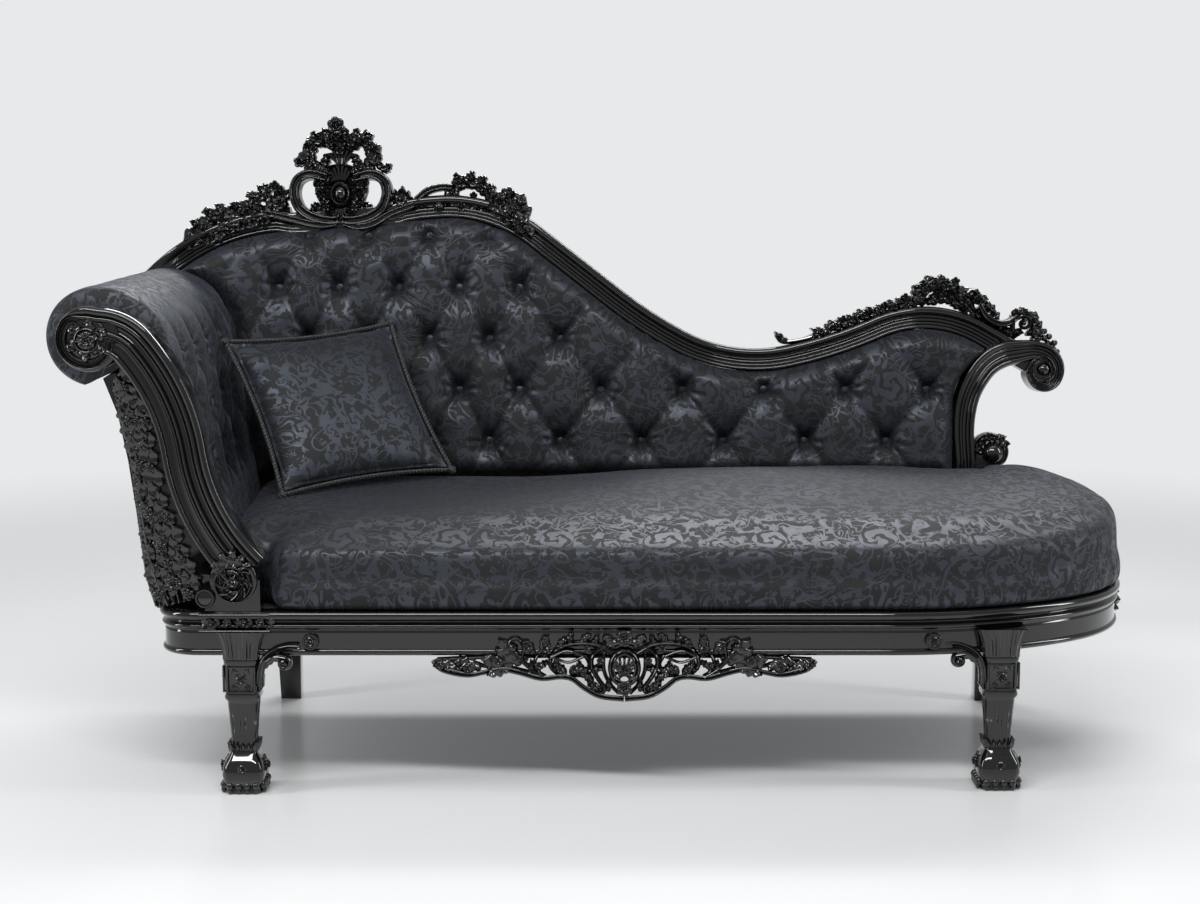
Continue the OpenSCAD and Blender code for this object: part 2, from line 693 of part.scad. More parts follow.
// Height of a line that runs off to the left of the middle line, at x
function along(x, off, i = 0) =
    let (p = back_ends[i], q = back_pieces[i], h = back_ends[i + 1].z,
         end_x = back_ends[i + 1].x - off * sin(h))
    x > end_x && i < len(back_pieces) - 1 ? along(x, off, i + 1)
    : q[0] == 0 ? p.y + off * cos(p.z) + (x - p.x + off * sin(p.z)) * tan(p.z)
    : let (c = arc_centre(p, q), side = sign(q[1]), r = q[0] - side * off)
      c.y - side * sqrt(max(0, r * r - pow(x - c.x, 2)));
half_rail = top_rail_w / 2;
function rail_under(x) = along(x, -half_rail);
function rail_over(x) = along(x, half_rail);

// C scroll at the foot end, tied to the tip of the rail
c_centre = [rail_tip.x - 43.6, rail_tip.y - 90];
volute_at = [rail_tip.x + 21.4, rail_tip.y - 16];
c_w = 44;
module c_section() {
    translate([-c_w / 2, -back_t]) square([c_w, back_t]);
    for (k = [[-16, 5], [-5, 3.2], [4, 3], [15.5, 5.6]]) translate([k[0], 0.6]) circle(k[1]);
}
c_start = [c_centre.x - c_r, 0, 90];
c_pieces = [[0, c_centre.y], [c_r, -90], [0, 40]];
// A volute of radius r: a disc with a raised rim and a round eye
module volute(r, t) {
    cylinder(r = r, h = t, $fn = 96);
    translate([0, 0, t]) rotate_extrude($fn = 96) translate([r - 6, 0]) circle(5);
    translate([0, 0, t]) rotate_extrude() translate([r * 0.52, 0]) circle(4);
    translate([0, 0, t]) sphere(r * 0.24);
}
module c_scroll_shape(t) {
    sweep(c_start, c_pieces) c_section();
    translate([volute_at.x, volute_at.y, -back_t]) volute(volute_r, back_t + 1);
}
module c_block() {
    translate([0, 0, -back_t - 20]) linear_extrude(back_t + 60) {
        translate([volute_at.x, volute_at.y]) circle(volute_r, $fn = fine);
        intersection() {
            translate(c_centre) difference() {
                circle(c_r + c_w / 2, $fn = fine);
                circle(c_r - c_w / 2, $fn = fine);
            }
            translate([c_centre.x - far, c_centre.y]) square(far);
        }
        translate([c_centre.x - 1, c_centre.y + c_r - c_w / 2]) square([41, c_w]);
    }
}
module c_scroll() color(black) above_rails() on_back() c_scroll_shape(back_t);

// Section of the top rail: a bold bead outside, then reeds
module top_rail_section() {
    translate([-half_rail, -back_t]) square([top_rail_w, back_t]);
    translate([half_rail - 9.6, 1.4]) circle(9);
    translate([half_rail - 26, 0.6]) circle(4.4);
    translate([half_rail - 35, 0.4]) circle(3.6);
    translate([half_rail - 41, 0.9]) circle(4);
}
// Points along the rail, off to the left of its middle line, two degrees apart on the bends
function beside_rail(off, first, last) = [
    for (i = [first : last]) let (p = back_ends[i], q = back_pieces[i],
        n = q[0] == 0 ? 1 : ceil(abs(q[1]) / 2))
        for (k = [0 : n - (i < last ? 1 : 0)]) let (e = piece_end(p, [q[0], q[1] * k / n]))
            [e.x - off * sin(e.z), e.y + off * cos(e.z)]];
module rail_band(off1, off2, first, last) {
    low = beside_rail(off1, first, last);
    high = beside_rail(off2, first, last);
    polygon(concat(low, [for (i = [len(high) - 1 : -1 : 0]) high[i]]));
}
module rail_envelope(grow = 0.07, first = 0, last = 8)
    translate([0, 0, -back_t - 60]) linear_extrude(back_t + 120)
        rail_band(-half_rail - grow, half_rail + grow, first, last);
// What the arm covers of the front of the back frame
module arm_cover_shape() linear_extrude(60) {
    translate([roll_at.x, (roll_at.y - rail_top) / cos(rake)]) circle(roll_r + 2, $fn = fine);
    intersection() {
        translate(arm_at) circle(arm_bend_r + 2, $fn = fine);
        translate([arm_at.x, arm_at.y]) square(far);
    }
}
module back_top_rail() color(black) on_back() difference() {
    union() {
        sweep(back_start, back_pieces, trim = joint_line) top_rail_section();
        tenons(back_start, back_pieces, 1, 8, top_rail_w * 0.4, -back_t * 0.7, -back_t * 0.3);
    }
    c_block();
    arm_cover_shape();
}

// The arm posts: a volute, an S curve and a foot on the seat rail. Drawn with heights from the floor.
post_start = [-887, 861 - post_w / 2, 0];
post_pieces = [[122 - post_w / 2, -50], [408 - post_w / 2, -32], [325 + post_w / 2, 35], [0, 16]];
post_ends = stations(post_start, post_pieces);
post_volute = [post_start.x - 17,
    post_start.y + post_w / 2 + 0.6 - sqrt(pow(post_volute_r, 2) - 289)];
swirl_at = [-661, rail_top + swirl_r + 8];
post_beads = [[33, 6], [21.5, 4], [-33, 5], [-24, 3]];
module post_section(t) {
    translate([-post_w / 2, -t]) square([post_w, t]);
    for (k = post_beads) translate([k[0] * post_w / 80, 0.8]) circle(k[1]);
}
module post_ends_shape(t) translate([0, 0, -t]) {
    translate(post_volute) cylinder(r = post_volute_r, h = t, $fn = 96);
    translate(swirl_at) cylinder(r = swirl_r, h = t, $fn = 96);
    linear_extrude(t) polygon([[swirl_at.x - swirl_r - 6, rail_top], [swirl_at.x + swirl_r, rail_top],
        [swirl_at.x + swirl_r, swirl_at.y], [post_ends[3].x, post_ends[3].y],
        [post_ends[3].x - post_w * 0.3, post_ends[3].y - post_w * 0.3]]);
}
module post_shape(t) {
    sweep(post_start, post_pieces) translate([-post_w / 2, -t]) square([post_w, t]);
    post_ends_shape(t);
}
post_front_y = -frame_front - 4;
module arm_front_post() color(black) facing_front(post_front_y) {
    difference() {
        sweep(post_start, post_pieces, trim = joint_line) post_section(post_t);
        translate(post_volute) cylinder(r = post_volute_r - 12, h = 20, $fn = 96);
    }
    tenons(post_start, post_pieces, 1, 3, post_w * 0.4, -post_t * 0.7, -post_t * 0.3);
    post_ends_shape(post_t);
    translate([post_volute.x, post_volute.y, 0]) rotate([0, 0, 105]) rotate_extrude(angle = 225, $fn = 96)
        translate([post_volute_r - 6.5, 0.8]) circle(5.5);
}
// The rear post is plain and stands behind the padding of the arm
rear_head = [-903, 480];
module rear_post_flat(grow = 0) {
    translate(rear_head) circle(60 + grow, $fn = 96);
    polygon([[-800, -10], [-705 + grow, -10], [-752 + grow, 330], [-764 + grow, 400],
        [-786 + grow, 480], [-850, 545], [-873, 572], [-936, 520], [-925, 470], [-880, 400],
        [-850, 300], [-826, 100]]);
}
module arm_rear_post() color(black) above_rails() on_back() difference() {
    translate([0, 0, -back_t]) linear_extrude(back_t) rear_post_flat();
    rail_envelope(0.07, 0, 0);
}

// Carved rosette in the post's volute and the swirl at its foot
rosette_t = 7;
module arm_volute_rosette() color(black) facing_front(post_front_y)
    translate([post_volute.x, post_volute.y, 0]) rosette(post_volute_r - 16, 10, 8);
module arm_foot_swirl() color(black) facing_front(post_front_y) translate([swirl_at.x, swirl_at.y, 0])
    difference() {
        union() {
            cylinder(r = swirl_r - 1, h = rosette_t);
            for (i = [0 : 8]) rotate([0, 0, 40 * i]) translate([swirl_r * 0.52, 0, rosette_t])
                rotate([0, 0, 50]) rotate([0, 90, 0]) translate([0, 0, -swirl_r * 0.36])
                    cylinder(r = 3.4, h = swirl_r * 0.72);
            translate([0, 0, rosette_t]) sphere(11);
        }
        translate([0, 0, -20]) cylinder(r = swirl_r, h = 20);
        translate([-swirl_at.x, -swirl_at.y, 0]) sweep(post_start, post_pieces, 2, 3)
            post_section(post_t);
    }

// Outline of the outer side of the arm, from the seat rail up to the roll
outer_line = [[-802, 0], [-822, 60], [-834, 170], [-846, 262], [-862, 345], [-886, 408]];
module side_strip(t) polygon(concat(
    [for (p = outer_line) [p.x, rail_top + p.y]],
    [for (i = [len(outer_line) - 1 : -1 : 0])
        [outer_line[i].x + t, rail_top + outer_line[i].y + (i > 3 ? t * 0.35 : 0)]]));
panel_t = 18;
post_back_y = post_front_y + post_t;
// Carved panel that faces the front beside the post
module arm_front_panel() color(black) facing_front(post_back_y) difference() {
    translate([0, 0, 0.1]) linear_extrude(panel_t) polygon(concat(
        [for (p = outer_line) [p.x, rail_top + p.y]],
        [[-840, post_volute.y - 40], [-720, 640], [-690, rail_top]]));
    translate([0, 0, panel_t + 25]) post_shape(panel_t + 50);
}
// Keeps what lies in front of the raked back frame, gap clear of it
module in_front_of_back(gap = 0) difference() {
    children();
    translate([0, back_y - gap, rail_top]) rotate([-rake, 0, 0])
        translate([-far / 2, 0, -far / 2]) cube([far, far, far]);
}
module arm_outer_cover() color(damask) in_front_of_back(soft_gap)
    facing_front(post_back_y) mirror([0, 0, 1]) linear_extrude(far / 2) side_strip(8);

// The roll of the arm: a turned core and a bent board behind the padding
arm_bend_r = 148;
arm_slope = 8;
roll_at = [-903, 805];
bend_at = [roll_at.x, roll_at.y + roll_r - arm_bend_r];
core_r = roll_r - arm_pad_t;
board_r = arm_bend_r - arm_pad_t;
arm_board_t = 10;
board_end = 29;
module arm_roll_core() color(plywood) in_front_of_back() facing_front(post_back_y)
    translate([roll_at.x, roll_at.y, -far / 2]) cylinder(r = core_r, h = far / 2, $fn = 96);
module arm_board() color(plywood) in_front_of_back() facing_front(post_back_y) mirror([0, 0, 1])
    linear_extrude(far / 2) difference() {
        union() {
            intersection() {
                translate(bend_at) difference() {
                    circle(board_r, $fn = fine);
                    circle(board_r - arm_board_t, $fn = fine);
                }
                translate([bend_at.x + board_end, bend_at.y]) square(far);
            }
            board_foot = board_r * [cos(arm_slope), sin(arm_slope)] + bend_at;
            drop = (board_foot.y - rail_top) / cos(arm_slope);
            translate(board_foot) rotate(arm_slope) translate([-arm_board_t, -drop])
                square([arm_board_t, drop]);
        }
        translate([-far / 2, rail_top - far]) square([far, far]);
        translate(roll_at) circle(core_r + fit_gap, $fn = fine);
    }

// Padding of the arm: the fabric line is [x, z, outward angle] at a distance s along it from
// the foot of the bend; it runs up the inner face, over the bend and round the roll.
bend_len = arm_bend_r * (90 - arm_slope) * PI / 180;
function arm_line(s, off = 0) =
    s < 0 ? let (p = arm_line(0, off)) [p.x - s * sin(arm_slope), p.y + s * cos(arm_slope), arm_slope]
    : s < bend_len ? let (a = arm_slope + s / arm_bend_r * 180 / PI)
      [bend_at.x + (arm_bend_r + off) * cos(a), bend_at.y + (arm_bend_r + off) * sin(a), a]
    : let (a = 90 + (s - bend_len) / roll_r * 180 / PI)
      [roll_at.x + (roll_r + off) * cos(a), roll_at.y + (roll_r + off) * sin(a), a];
arm_foot_s = -(arm_line(0).y - rail_top - soft_gap) / cos(arm_slope);
arm_row = tuft_row / 4;
roll_turn = 165;
arm_s = concat(
    [arm_foot_s, (arm_foot_s - 11 * arm_row) / 2],
    [for (i = [-11 : 0]) i * arm_row],
    [for (i = [1 : 5]) i * arm_row], [bend_len * 0.8],
    [for (i = [0 : 5]) bend_len + roll_r * PI / 180 * roll_turn * i / 5]);
arm_y0 = post_back_y + 46;
arm_step = tuft_pitch / 4;
arm_y_count = floor((back_y + 10 - arm_y0) / arm_step);
function arm_back_y(z) = lean_y(z, soft_gap);
// Depth of a sewn tuft: 0 on a button, 1 at the middle of a diamond; a and b count diamonds
function puff(a, b) =
    let (p = abs(sin(180 * a)), q = abs(sin(180 * b)), d = sqrt((p * p + q * q) / 2))
    0.35 * sqrt(p * q) + 0.65 * pow(min(1, 1.2 * d), 0.8);
function arm_sink(s, y) =
    let (m = s / tuft_row, n = (y - arm_y0) / tuft_pitch * 2 - 1,
         low = -11 * arm_row, up = 5 * arm_row,
         fade = max(0, min(1, (s - low) / 60)) * max(0, min(1, (up - s) / 80)))
    tuft_d * 0.8 * fade * (1 - puff((n + m) / 2, (n - m) / 2));
module arm_upholstery() {
    // The chords of the inner side stay clear of the round core and of the bent board
    function inner(s) = arm_pad_t - (s < 1 ? soft_gap : s < bend_len - 1 ? 1.6 : 2.7);
    m = len(arm_s);
    ny = arm_y_count + 4;
    front = post_back_y + soft_gap;
    outer_pts = [for (s = arm_s, j = [0 : ny - 1])
        let (e = arm_line(s), back = arm_back_y(e.y),
             y = j == 0 ? front : j == 1 ? front + 10
                 : j == ny - 1 ? back : j == ny - 2 ? back - 12 : arm_y0 + (j - 2) * arm_step,
             edge = j == 0 || j == ny - 1 ? 9 : j == 1 || j == ny - 2 ? 2 : 0,
             p = arm_line(s, s <= arm_foot_s ? -edge / 3 : -edge - arm_sink(s, y)))
        [p.x, j == ny - 1 ? arm_back_y(p.y) : y, max(p.y, rail_top + soft_gap)]];
    inner_pts = [for (s = arm_s, j = [0, 1])
        let (p = arm_line(s, -inner(s)), z = max(p.y, rail_top + soft_gap))
        [p.x, j == 0 ? front : arm_back_y(z), z]];
    base = m * ny;
    faces = concat(
        [for (i = [0 : m - 2], j = [0 : ny - 2]) each [
            [i * ny + j, (i + 1) * ny + j, i * ny + j + 1],
            [(i + 1) * ny + j, (i + 1) * ny + j + 1, i * ny + j + 1]]],
        [for (i = [0 : m - 2]) each [
            [base + 2 * i, base + 2 * i + 1, base + 2 * i + 2],
            [base + 2 * i + 1, base + 2 * i + 3, base + 2 * i + 2],
            [i * ny, base + 2 * i, (i + 1) * ny],
            [base + 2 * i, base + 2 * i + 2, (i + 1) * ny],
            [i * ny + ny - 1, (i + 1) * ny + ny - 1, base + 2 * i + 1],
            [base + 2 * i + 1, (i + 1) * ny + ny - 1, base + 2 * i + 3]]],
        [[base, for (j = [0 : ny - 1]) j, base + 1]],
        [[base + 2 * m - 2, base + 2 * m - 1, for (j = [ny - 1 : -1 : 0]) (m - 1) * ny + j]]);
    color(damask) polyhedron(concat(outer_pts, inner_pts), faces, convexity = 8);
}

// Covered buttons: a low dome over a cone that fits the tuft
module covered_button() {
    rotate_extrude() polygon([[0, 0], [button_r, button_r], [button_r, button_r + 1.5],
        [button_r * 0.8, button_r + 4], [button_r * 0.4, button_r + 5.6], [0, button_r + 6]]);
}
module arm_buttons() color(damask)
    for (row = [0 : 2], k = [0 : 3]) {
        s = -row * tuft_row;
        y = arm_y0 + tuft_pitch * (k + (row == 1 ? 1 : 0.5));
        p = arm_line(s, -arm_sink(s, y) + soft_gap);
        translate([p.x, y, p.y]) rotate([0, 90 - p.z, 0]) covered_button();
    }

// Lower curl of the C scroll: a ball end with a leaf on it, on a neck from the stem
curl_at = [c_centre.x - 26, 190];
module lower_scroll() color(black) on_back() difference() {
    union() {
        translate([curl_at.x, curl_at.y, -back_t + 4]) {
            cylinder(r = 25, h = back_t - 6);
            translate([0, 0, back_t - 6]) rotate_extrude() translate([18, 0]) circle(5);
            translate([0, 0, back_t - 6]) sphere(9);
        }
        translate([0, 0, -back_t + 8]) linear_extrude(back_t - 14)
            polygon([[stem_x, 128], [stem_x + 45, 160], curl_at, [curl_at.x - 6, 206], [stem_x, 222]]);
        translate([curl_at.x, curl_at.y, -back_t + 10]) linear_extrude(back_t - 18)
            for (a = [68, 98, 128]) rotate(a) leaf_flat(60, 20);
    }
    translate([0, 0, -back_t - 20]) linear_extrude(back_t + 60)
        translate([c_centre.x - c_r - 120, -20]) square([120 + c_w / 2, far]);
}

// Rail and board inside the back frame
bottom_rail_v = 60;
bottom_rail_w = 50;
cover_t = 2;
board_front = -20;
module inside_frame(bottom) difference() {
    polygon(concat(
        [[c_centre.x - c_r, bottom], [-795, bottom]], [[-868, 540]],
        [for (x = [-868 : 62 : 760]) [x, along(x, 0)]], [[762, 405], [c_centre.x - 60, 380]]));
    rear_post_flat(fit_gap);
    translate([c_centre.x - c_r - c_w / 2 - fit_gap, -50]) square([far, c_centre.y + 50]);
    translate(c_centre) circle(c_r + c_w / 2 + fit_gap, $fn = fine);
}
module back_bottom_rail() color(plywood) on_back() translate([0, bottom_rail_v, cover_t - back_t])
    linear_extrude(back_t - cover_t - 6) translate([0, -bottom_rail_v]) difference() {
        translate([-790, bottom_rail_v]) square([790 + c_centre.x - c_r - c_w / 2, bottom_rail_w]);
        rear_post_flat();
    }
module back_board() color(plywood) on_back() difference() {
    translate([0, 0, board_front - board_t]) linear_extrude(board_t)
        inside_frame(bottom_rail_v + bottom_rail_w + fit_gap);
    rail_envelope(fit_gap);
}
module back_outer_cover() color(damask) on_back() difference() {
    translate([0, 0, -back_t]) linear_extrude(cover_t - fit_gap) inside_frame(5);
    rail_envelope(fit_gap);
}

// Padding of the back. A grid of columns; each column has a bottom vertex, rows a quarter of
// the button rows apart, and a top vertex under the rail.
pad_bottom = 142;
first_row = 216;
row_step = tuft_row / 4;
mid_x = -182;
function button_x(n) = mid_x + n * (n > 0 ? tuft_pitch_low : tuft_pitch) / 2;
function column_n(x) = (x - mid_x) * 2 / (x > mid_x ? tuft_pitch_low : tuft_pitch);
arm_at = [bend_at.x, (bend_at.y - rail_top) / cos(rake)];
arm_axis = [cos(arm_slope), sin(arm_slope)];
// Distance from the arm's outline and from the C scroll
function from_arm(p) = let (q = p - arm_at)
    (atan2(q.y, q.x) > arm_slope ? norm(q) : q * arm_axis) - arm_bend_r;
function from_scroll(p) = let (q = p - c_centre, r = c_r + c_w / 2)
    q.y > 0 ? norm(q) - r : -r - q.x;
function pad_edge(x, v) = max(0, min(v - pad_bottom, rail_under(x) - v, from_arm([x, v]),
    from_scroll([x, v])));
scroll_edge = c_centre.x - c_r - c_w / 2;
arm_gap = 2.2;
scroll_gap = 3;
function pad_low(x) =
    x < arm_at.x + (arm_bend_r + arm_gap) * cos(arm_slope)
    ? arm_at.y + sqrt(pow(arm_bend_r + arm_gap, 2) - pow(x - arm_at.x, 2))
    : x > scroll_edge
    ? c_centre.y + sqrt(pow(c_r + c_w / 2 + scroll_gap, 2) - pow(x - c_centre.x, 2))
    : max(pad_bottom, arm_at.y + (arm_bend_r + 0.8 - (x - arm_at.x) * arm_axis.x) / arm_axis.y);
function pad_high(x) = rail_under(x) - 1.2;
function pad_puff(x, v) = let (n = column_n(x), k = (v - first_row) / tuft_row)
    puff((n + k - 1) / 2, (n - k - 1) / 2);
function pad_top(x, v) = let (e = 1 - pow(1 - min(1, pad_edge(x, v) / 70), 2))
    2 + e * (pad_h - 2 - tuft_d * (1 - pad_puff(x, v)));
wall_x = scroll_edge - 2;
foot_x = arm_at.x + (arm_bend_r + 0.8 - (pad_bottom - arm_at.y) * arm_axis.y) / arm_axis.x;
pad_cols = concat([-862], [for (i = [-22 : -18]) button_x(i / 2)], [foot_x],
    [for (i = [-17 : 21]) button_x(i / 2)], [wall_x, wall_x + 9, wall_x + 23, wall_x + 41, wall_x + 58]);
wall_col = len(pad_cols) - 5;
// One column as a list of heights
function pad_rows(x) = let (b = pad_low(x), t = pad_high(x))
    concat([b], [for (j = [-2 : 20]) let (v = first_row + j * row_step) if (v > b + 7 && v < t - 7) v], [t]);
function sum(v, i = 0, n = 0) = i >= n ? 0 : v[i] + sum(v, i + 1, n);
// Triangles between two columns of [index, height]
function zip(a, b, i = 0, j = 0) =
    i == len(a) - 1 && j == len(b) - 1 ? []
    : j == len(b) - 1 || (i < len(a) - 1 && a[i + 1].y <= b[j + 1].y + 0.01)
    ? concat([[a[i].x, a[i + 1].x, b[j].x]], zip(a, b, i + 1, j))
    : concat([[a[i].x, b[j + 1].x, b[j].x]], zip(a, b, i, j + 1));
module back_upholstery() {
    rows = [for (x = pad_cols) pad_rows(x)];
    sizes = [for (r = rows) len(r)];
    first = [for (c = [0 : len(rows) - 1]) sum(sizes, 0, c)];
    column = [for (c = [0 : len(rows) - 1]) [for (r = [0 : sizes[c] - 1]) [first[c] + r, rows[c][r]]]];
    total = sum(sizes, 0, len(sizes));
    // The wall column is met from the right only above the middle of the scroll
    upper = [for (e = column[wall_col]) if (e.y > c_centre.y) e];
    lower = [for (e = column[wall_col]) if (e.y < upper[0].y + 0.01) e];
    n = len(rows);
    function left_of(c) = c == wall_col ? upper : column[c];
    function back_low(c) = total + 2 * c;
    function back_high(c) = total + 2 * c + 1;
    notch_back = total + 2 * n;
    function low_left(c) = c == wall_col ? notch_back : back_low(c);
    points = concat(
        [for (c = [0 : n - 1], v = rows[c]) [pad_cols[c], v, pad_top(pad_cols[c], v)]],
        [for (c = [0 : n - 1], v = [rows[c][0], rows[c][sizes[c] - 1]])
            [pad_cols[c], v, board_front + soft_gap]],
        [[pad_cols[wall_col], upper[0].y, board_front + soft_gap]]);
    last = column[n - 1];
    faces = concat(
        [for (c = [0 : n - 2]) each zip(left_of(c), column[c + 1])],
        [for (c = [0 : n - 2]) each c + 1 == wall_col ? [
            [back_low(c), back_low(c + 1), notch_back],
            [back_low(c), notch_back, back_high(c)],
            [notch_back, back_high(c + 1), back_high(c)]]
            : [[low_left(c), back_low(c + 1), back_high(c)],
            [back_low(c + 1), back_high(c + 1), back_high(c)]]],
        [for (c = [0 : n - 2]) each [
            [left_of(c)[0].x, column[c + 1][0].x, low_left(c)],
            [column[c + 1][0].x, back_low(c + 1), low_left(c)],
            [column[c][sizes[c] - 1].x, back_high(c), column[c + 1][sizes[c + 1] - 1].x],
            [back_high(c), back_high(c + 1), column[c + 1][sizes[c + 1] - 1].x]]],
        [concat([back_low(0), back_high(0)], [for (i = [sizes[0] - 1 : -1 : 0]) column[0][i].x])],
        [concat([back_low(n - 1)], [for (e = last) e.x], [back_high(n - 1)])],
        [concat([back_low(wall_col)], [for (e = lower) e.x], [notch_back])]);
    color(damask) on_back() polyhedron(points, faces, convexity = 8);
}
module back_buttons() color(damask) on_back()
    for (k = [0 : 4], n = [-11 : 11]) {
        x = button_x(n);
        v = first_row + k * tuft_row;
        if ((n + k) % 2 != 0 && pad_edge(x, v) > 24 && x < wall_x)
            translate([x, v, pad_top(x, v) + soft_gap]) covered_button();
    }

// Carved ornament on the top rail
carve_d = -36;
// A band that follows the rail, from x1 to x2
module vine(x1, x2, first, last) intersection() {
    translate([0, 0, carve_d + 6]) linear_extrude(crest_t)
        rail_band(half_rail - 1, half_rail + 13, first, last);
    translate([x1, 0, -far / 2]) cube([x2 - x1, far, far]);
}
// A curl: a flat band of outer radius r and width w that ends in a knob
module curl(at, r, w, a1, a2, t = crest_t) translate([at.x, at.y, carve_d]) {
    rotate([0, 0, a1]) rotate_extrude(angle = a2 - a1) translate([r - w, 0]) square([w, t]);
    rotate([0, 0, a2]) translate([r - w * 0.6, 0, 0]) cylinder(r = w * 0.75, h = t + 2);
}
module flower(at, r, petals = 6) translate([at.x, at.y, carve_d]) {
    cylinder(r = r * 0.8, h = crest_t - 6);
    translate([0, 0, crest_t - 8]) rosette(r, 14, petals);
}
// Fronds are drawn flat, and all that belong together are cut from one thickness
module foliage() translate([0, 0, carve_d + 3]) linear_extrude(crest_t - 6) children();
module frond(at, l, w, a) translate(at) rotate(a) leaf_flat(l, w);
module on_rail(first, last) color(black) on_back() difference() {
    union() children();
    rail_envelope(0.07, first, last);
}
loop_v = along(crest_x, half_rail) + crest_loop_r - 37;
loop_dx = crest_loop_r - 2.5;
loop_w = 18;
module loop_discs(grow = 0) for (s = [-1, 1])
    translate([crest_x + s * loop_dx, loop_v, carve_d - 20])
        cylinder(r = crest_loop_r + grow, h = crest_t + 40, $fn = fine);
module crest_loops() on_rail(1, 1) difference() {
    for (s = [-1, 1]) translate([crest_x + s * loop_dx, loop_v, carve_d]) {
        cylinder(r = crest_loop_r, h = crest_t, $fn = fine);
        difference() {
            cylinder(r = crest_loop_r - 4, h = crest_t + 4, $fn = 96);
            translate([s > 0 ? -far : -8, -far / 2, 0]) cube([far + 8, far, far]);
        }
    }
    for (s = [-1, 1]) translate([crest_x + s * loop_dx, loop_v, carve_d - 10])
        cylinder(r = crest_loop_r - loop_w, h = crest_t + 30, $fn = 96);
}
// Shell-shaped cartouche in front of the loops, with an oval boss
module crest_cartouche() on_rail(1, 1) translate([crest_x, loop_v - 46, carve_d + crest_t]) {
    linear_extrude(9) intersection() {
        polygon([[-24, 0], [24, 0], [62, 70], [54, 104], [-54, 104], [-62, 70]]);
        translate([0, 22]) circle(84, $fn = fine);
    }
    for (a = [-36 : 12 : 36]) rotate([0, 0, 90 + a]) translate([44, 0, 9]) rotate([0, 90, 0])
        cylinder(r1 = 3, r2 = 6.5, h = 50);
    translate([4, 14, 0]) rotate([0, 0, 90]) {
        leaf(66, 46, 13);
        translate([9, 0, 0]) leaf(48, 32, 17);
    }
}
module crest_crown() on_rail(1, 1) difference() {
    union() {
        x = crest_x - 5;
        v = loop_v + 84;
        translate([x - 12, v - 50, carve_d + 1]) cube([24, 96, crest_t - 3]);
        for (s = [-1, 1]) {
            curl([x + s * 33, v], 27, 13, s > 0 ? 200 : 340, s > 0 ? 480 : 60);
            translate([x + s * 80, v - 18, carve_d + 4]) cylinder(r = 12, h = crest_t - 5);
        }
        foliage() for (s = [-1, 1]) {
            frond([x + s * 46, v - 8], 62, 20, s > 0 ? -22 : 202);
            frond([x + s * 4, v + 8], 62, 22, s > 0 ? 64 : 116);
        }
        flower([x - 2, v + 52], 18, 7);
    }
    loop_discs(0.1);
}
module left_garland() on_rail(0, 1) {
    vine(-862, crest_x - 110, 0, 1);
    flower([-851, 643], 15);
    flower([-782, 676], 16, 7);
    curl([-735, 690], 26, 12, -10, 200);
    flower([-722, 716], 15, 5);
    translate([-680, 733, carve_d]) cylinder(r = 13, h = crest_t);
    foliage() {
        frond([-845, 646], 74, 20, 28);
        frond([-770, 680], 60, 20, 40);
        frond([-722, 706], 56, 18, 28);
        frond([-690, 690], 50, 22, 66);
    }
}
module right_garland() on_rail(1, 2) {
    vine(crest_x + 110, -168, 1, 2);
    flower([-413, 714], 13, 5);
    curl([-352, 706], 34, 13, 5, 175);
    translate([-351, 722, carve_d]) cylinder(r = 13, h = crest_t + 4);
    curl([-272, 704], 31, 12, 3, 183);
    flower([-243, 714], 13);
    curl([-212, 690], 32, 13, -4, 176);
    foliage() {
        for (a = [48, 78, 108]) frond([-416, 704], 50, 18, a);
        frond([-384, 712], 62, 16, 4);
        frond([-192, 692], 46, 20, -36);
    }
}
end_flowers = [
    [475, 466, 14], [524, 488, 14], [560, 503, 14], [600, 520, 16], [638, 532, 17], [670, 541, 18],
    [723, 521, 17], [792, 507, 16], [835, 478, 15], [874, 470, 14], [905, 436, 13], [919, 408, 12]
];
module end_garland() on_back() color(black) difference() {
    union() {
        vine(322, 824, 5, 8);
        for (f = end_flowers) flower(f, f.z, 6);
        foliage() {
        frond([388, 418], 62, 18, 172);
        frond([384, 414], 84, 20, 24);
        for (i = [0 : len(end_flowers) - 2])
            let (a = [end_flowers[i].x, end_flowers[i].y], b = [end_flowers[i + 1].x, end_flowers[i + 1].y])
                frond(a, norm(b - a) + 4, 22, atan2(b.y - a.y, b.x - a.x));
        for (p = [[600, 482, 96], [640, 488, 90], [676, 486, 84], [730, 476, 80], [790, 440, 78],
            [838, 410, 88]])
            frond([p.x, p.y - 8], p.x > 780 ? 78 : p.x > 590 && p.x < 700 ? 62 : 56, 26, p.z);
        }
    }
    rail_envelope(0.07, 4, 8);
    c_block();
}

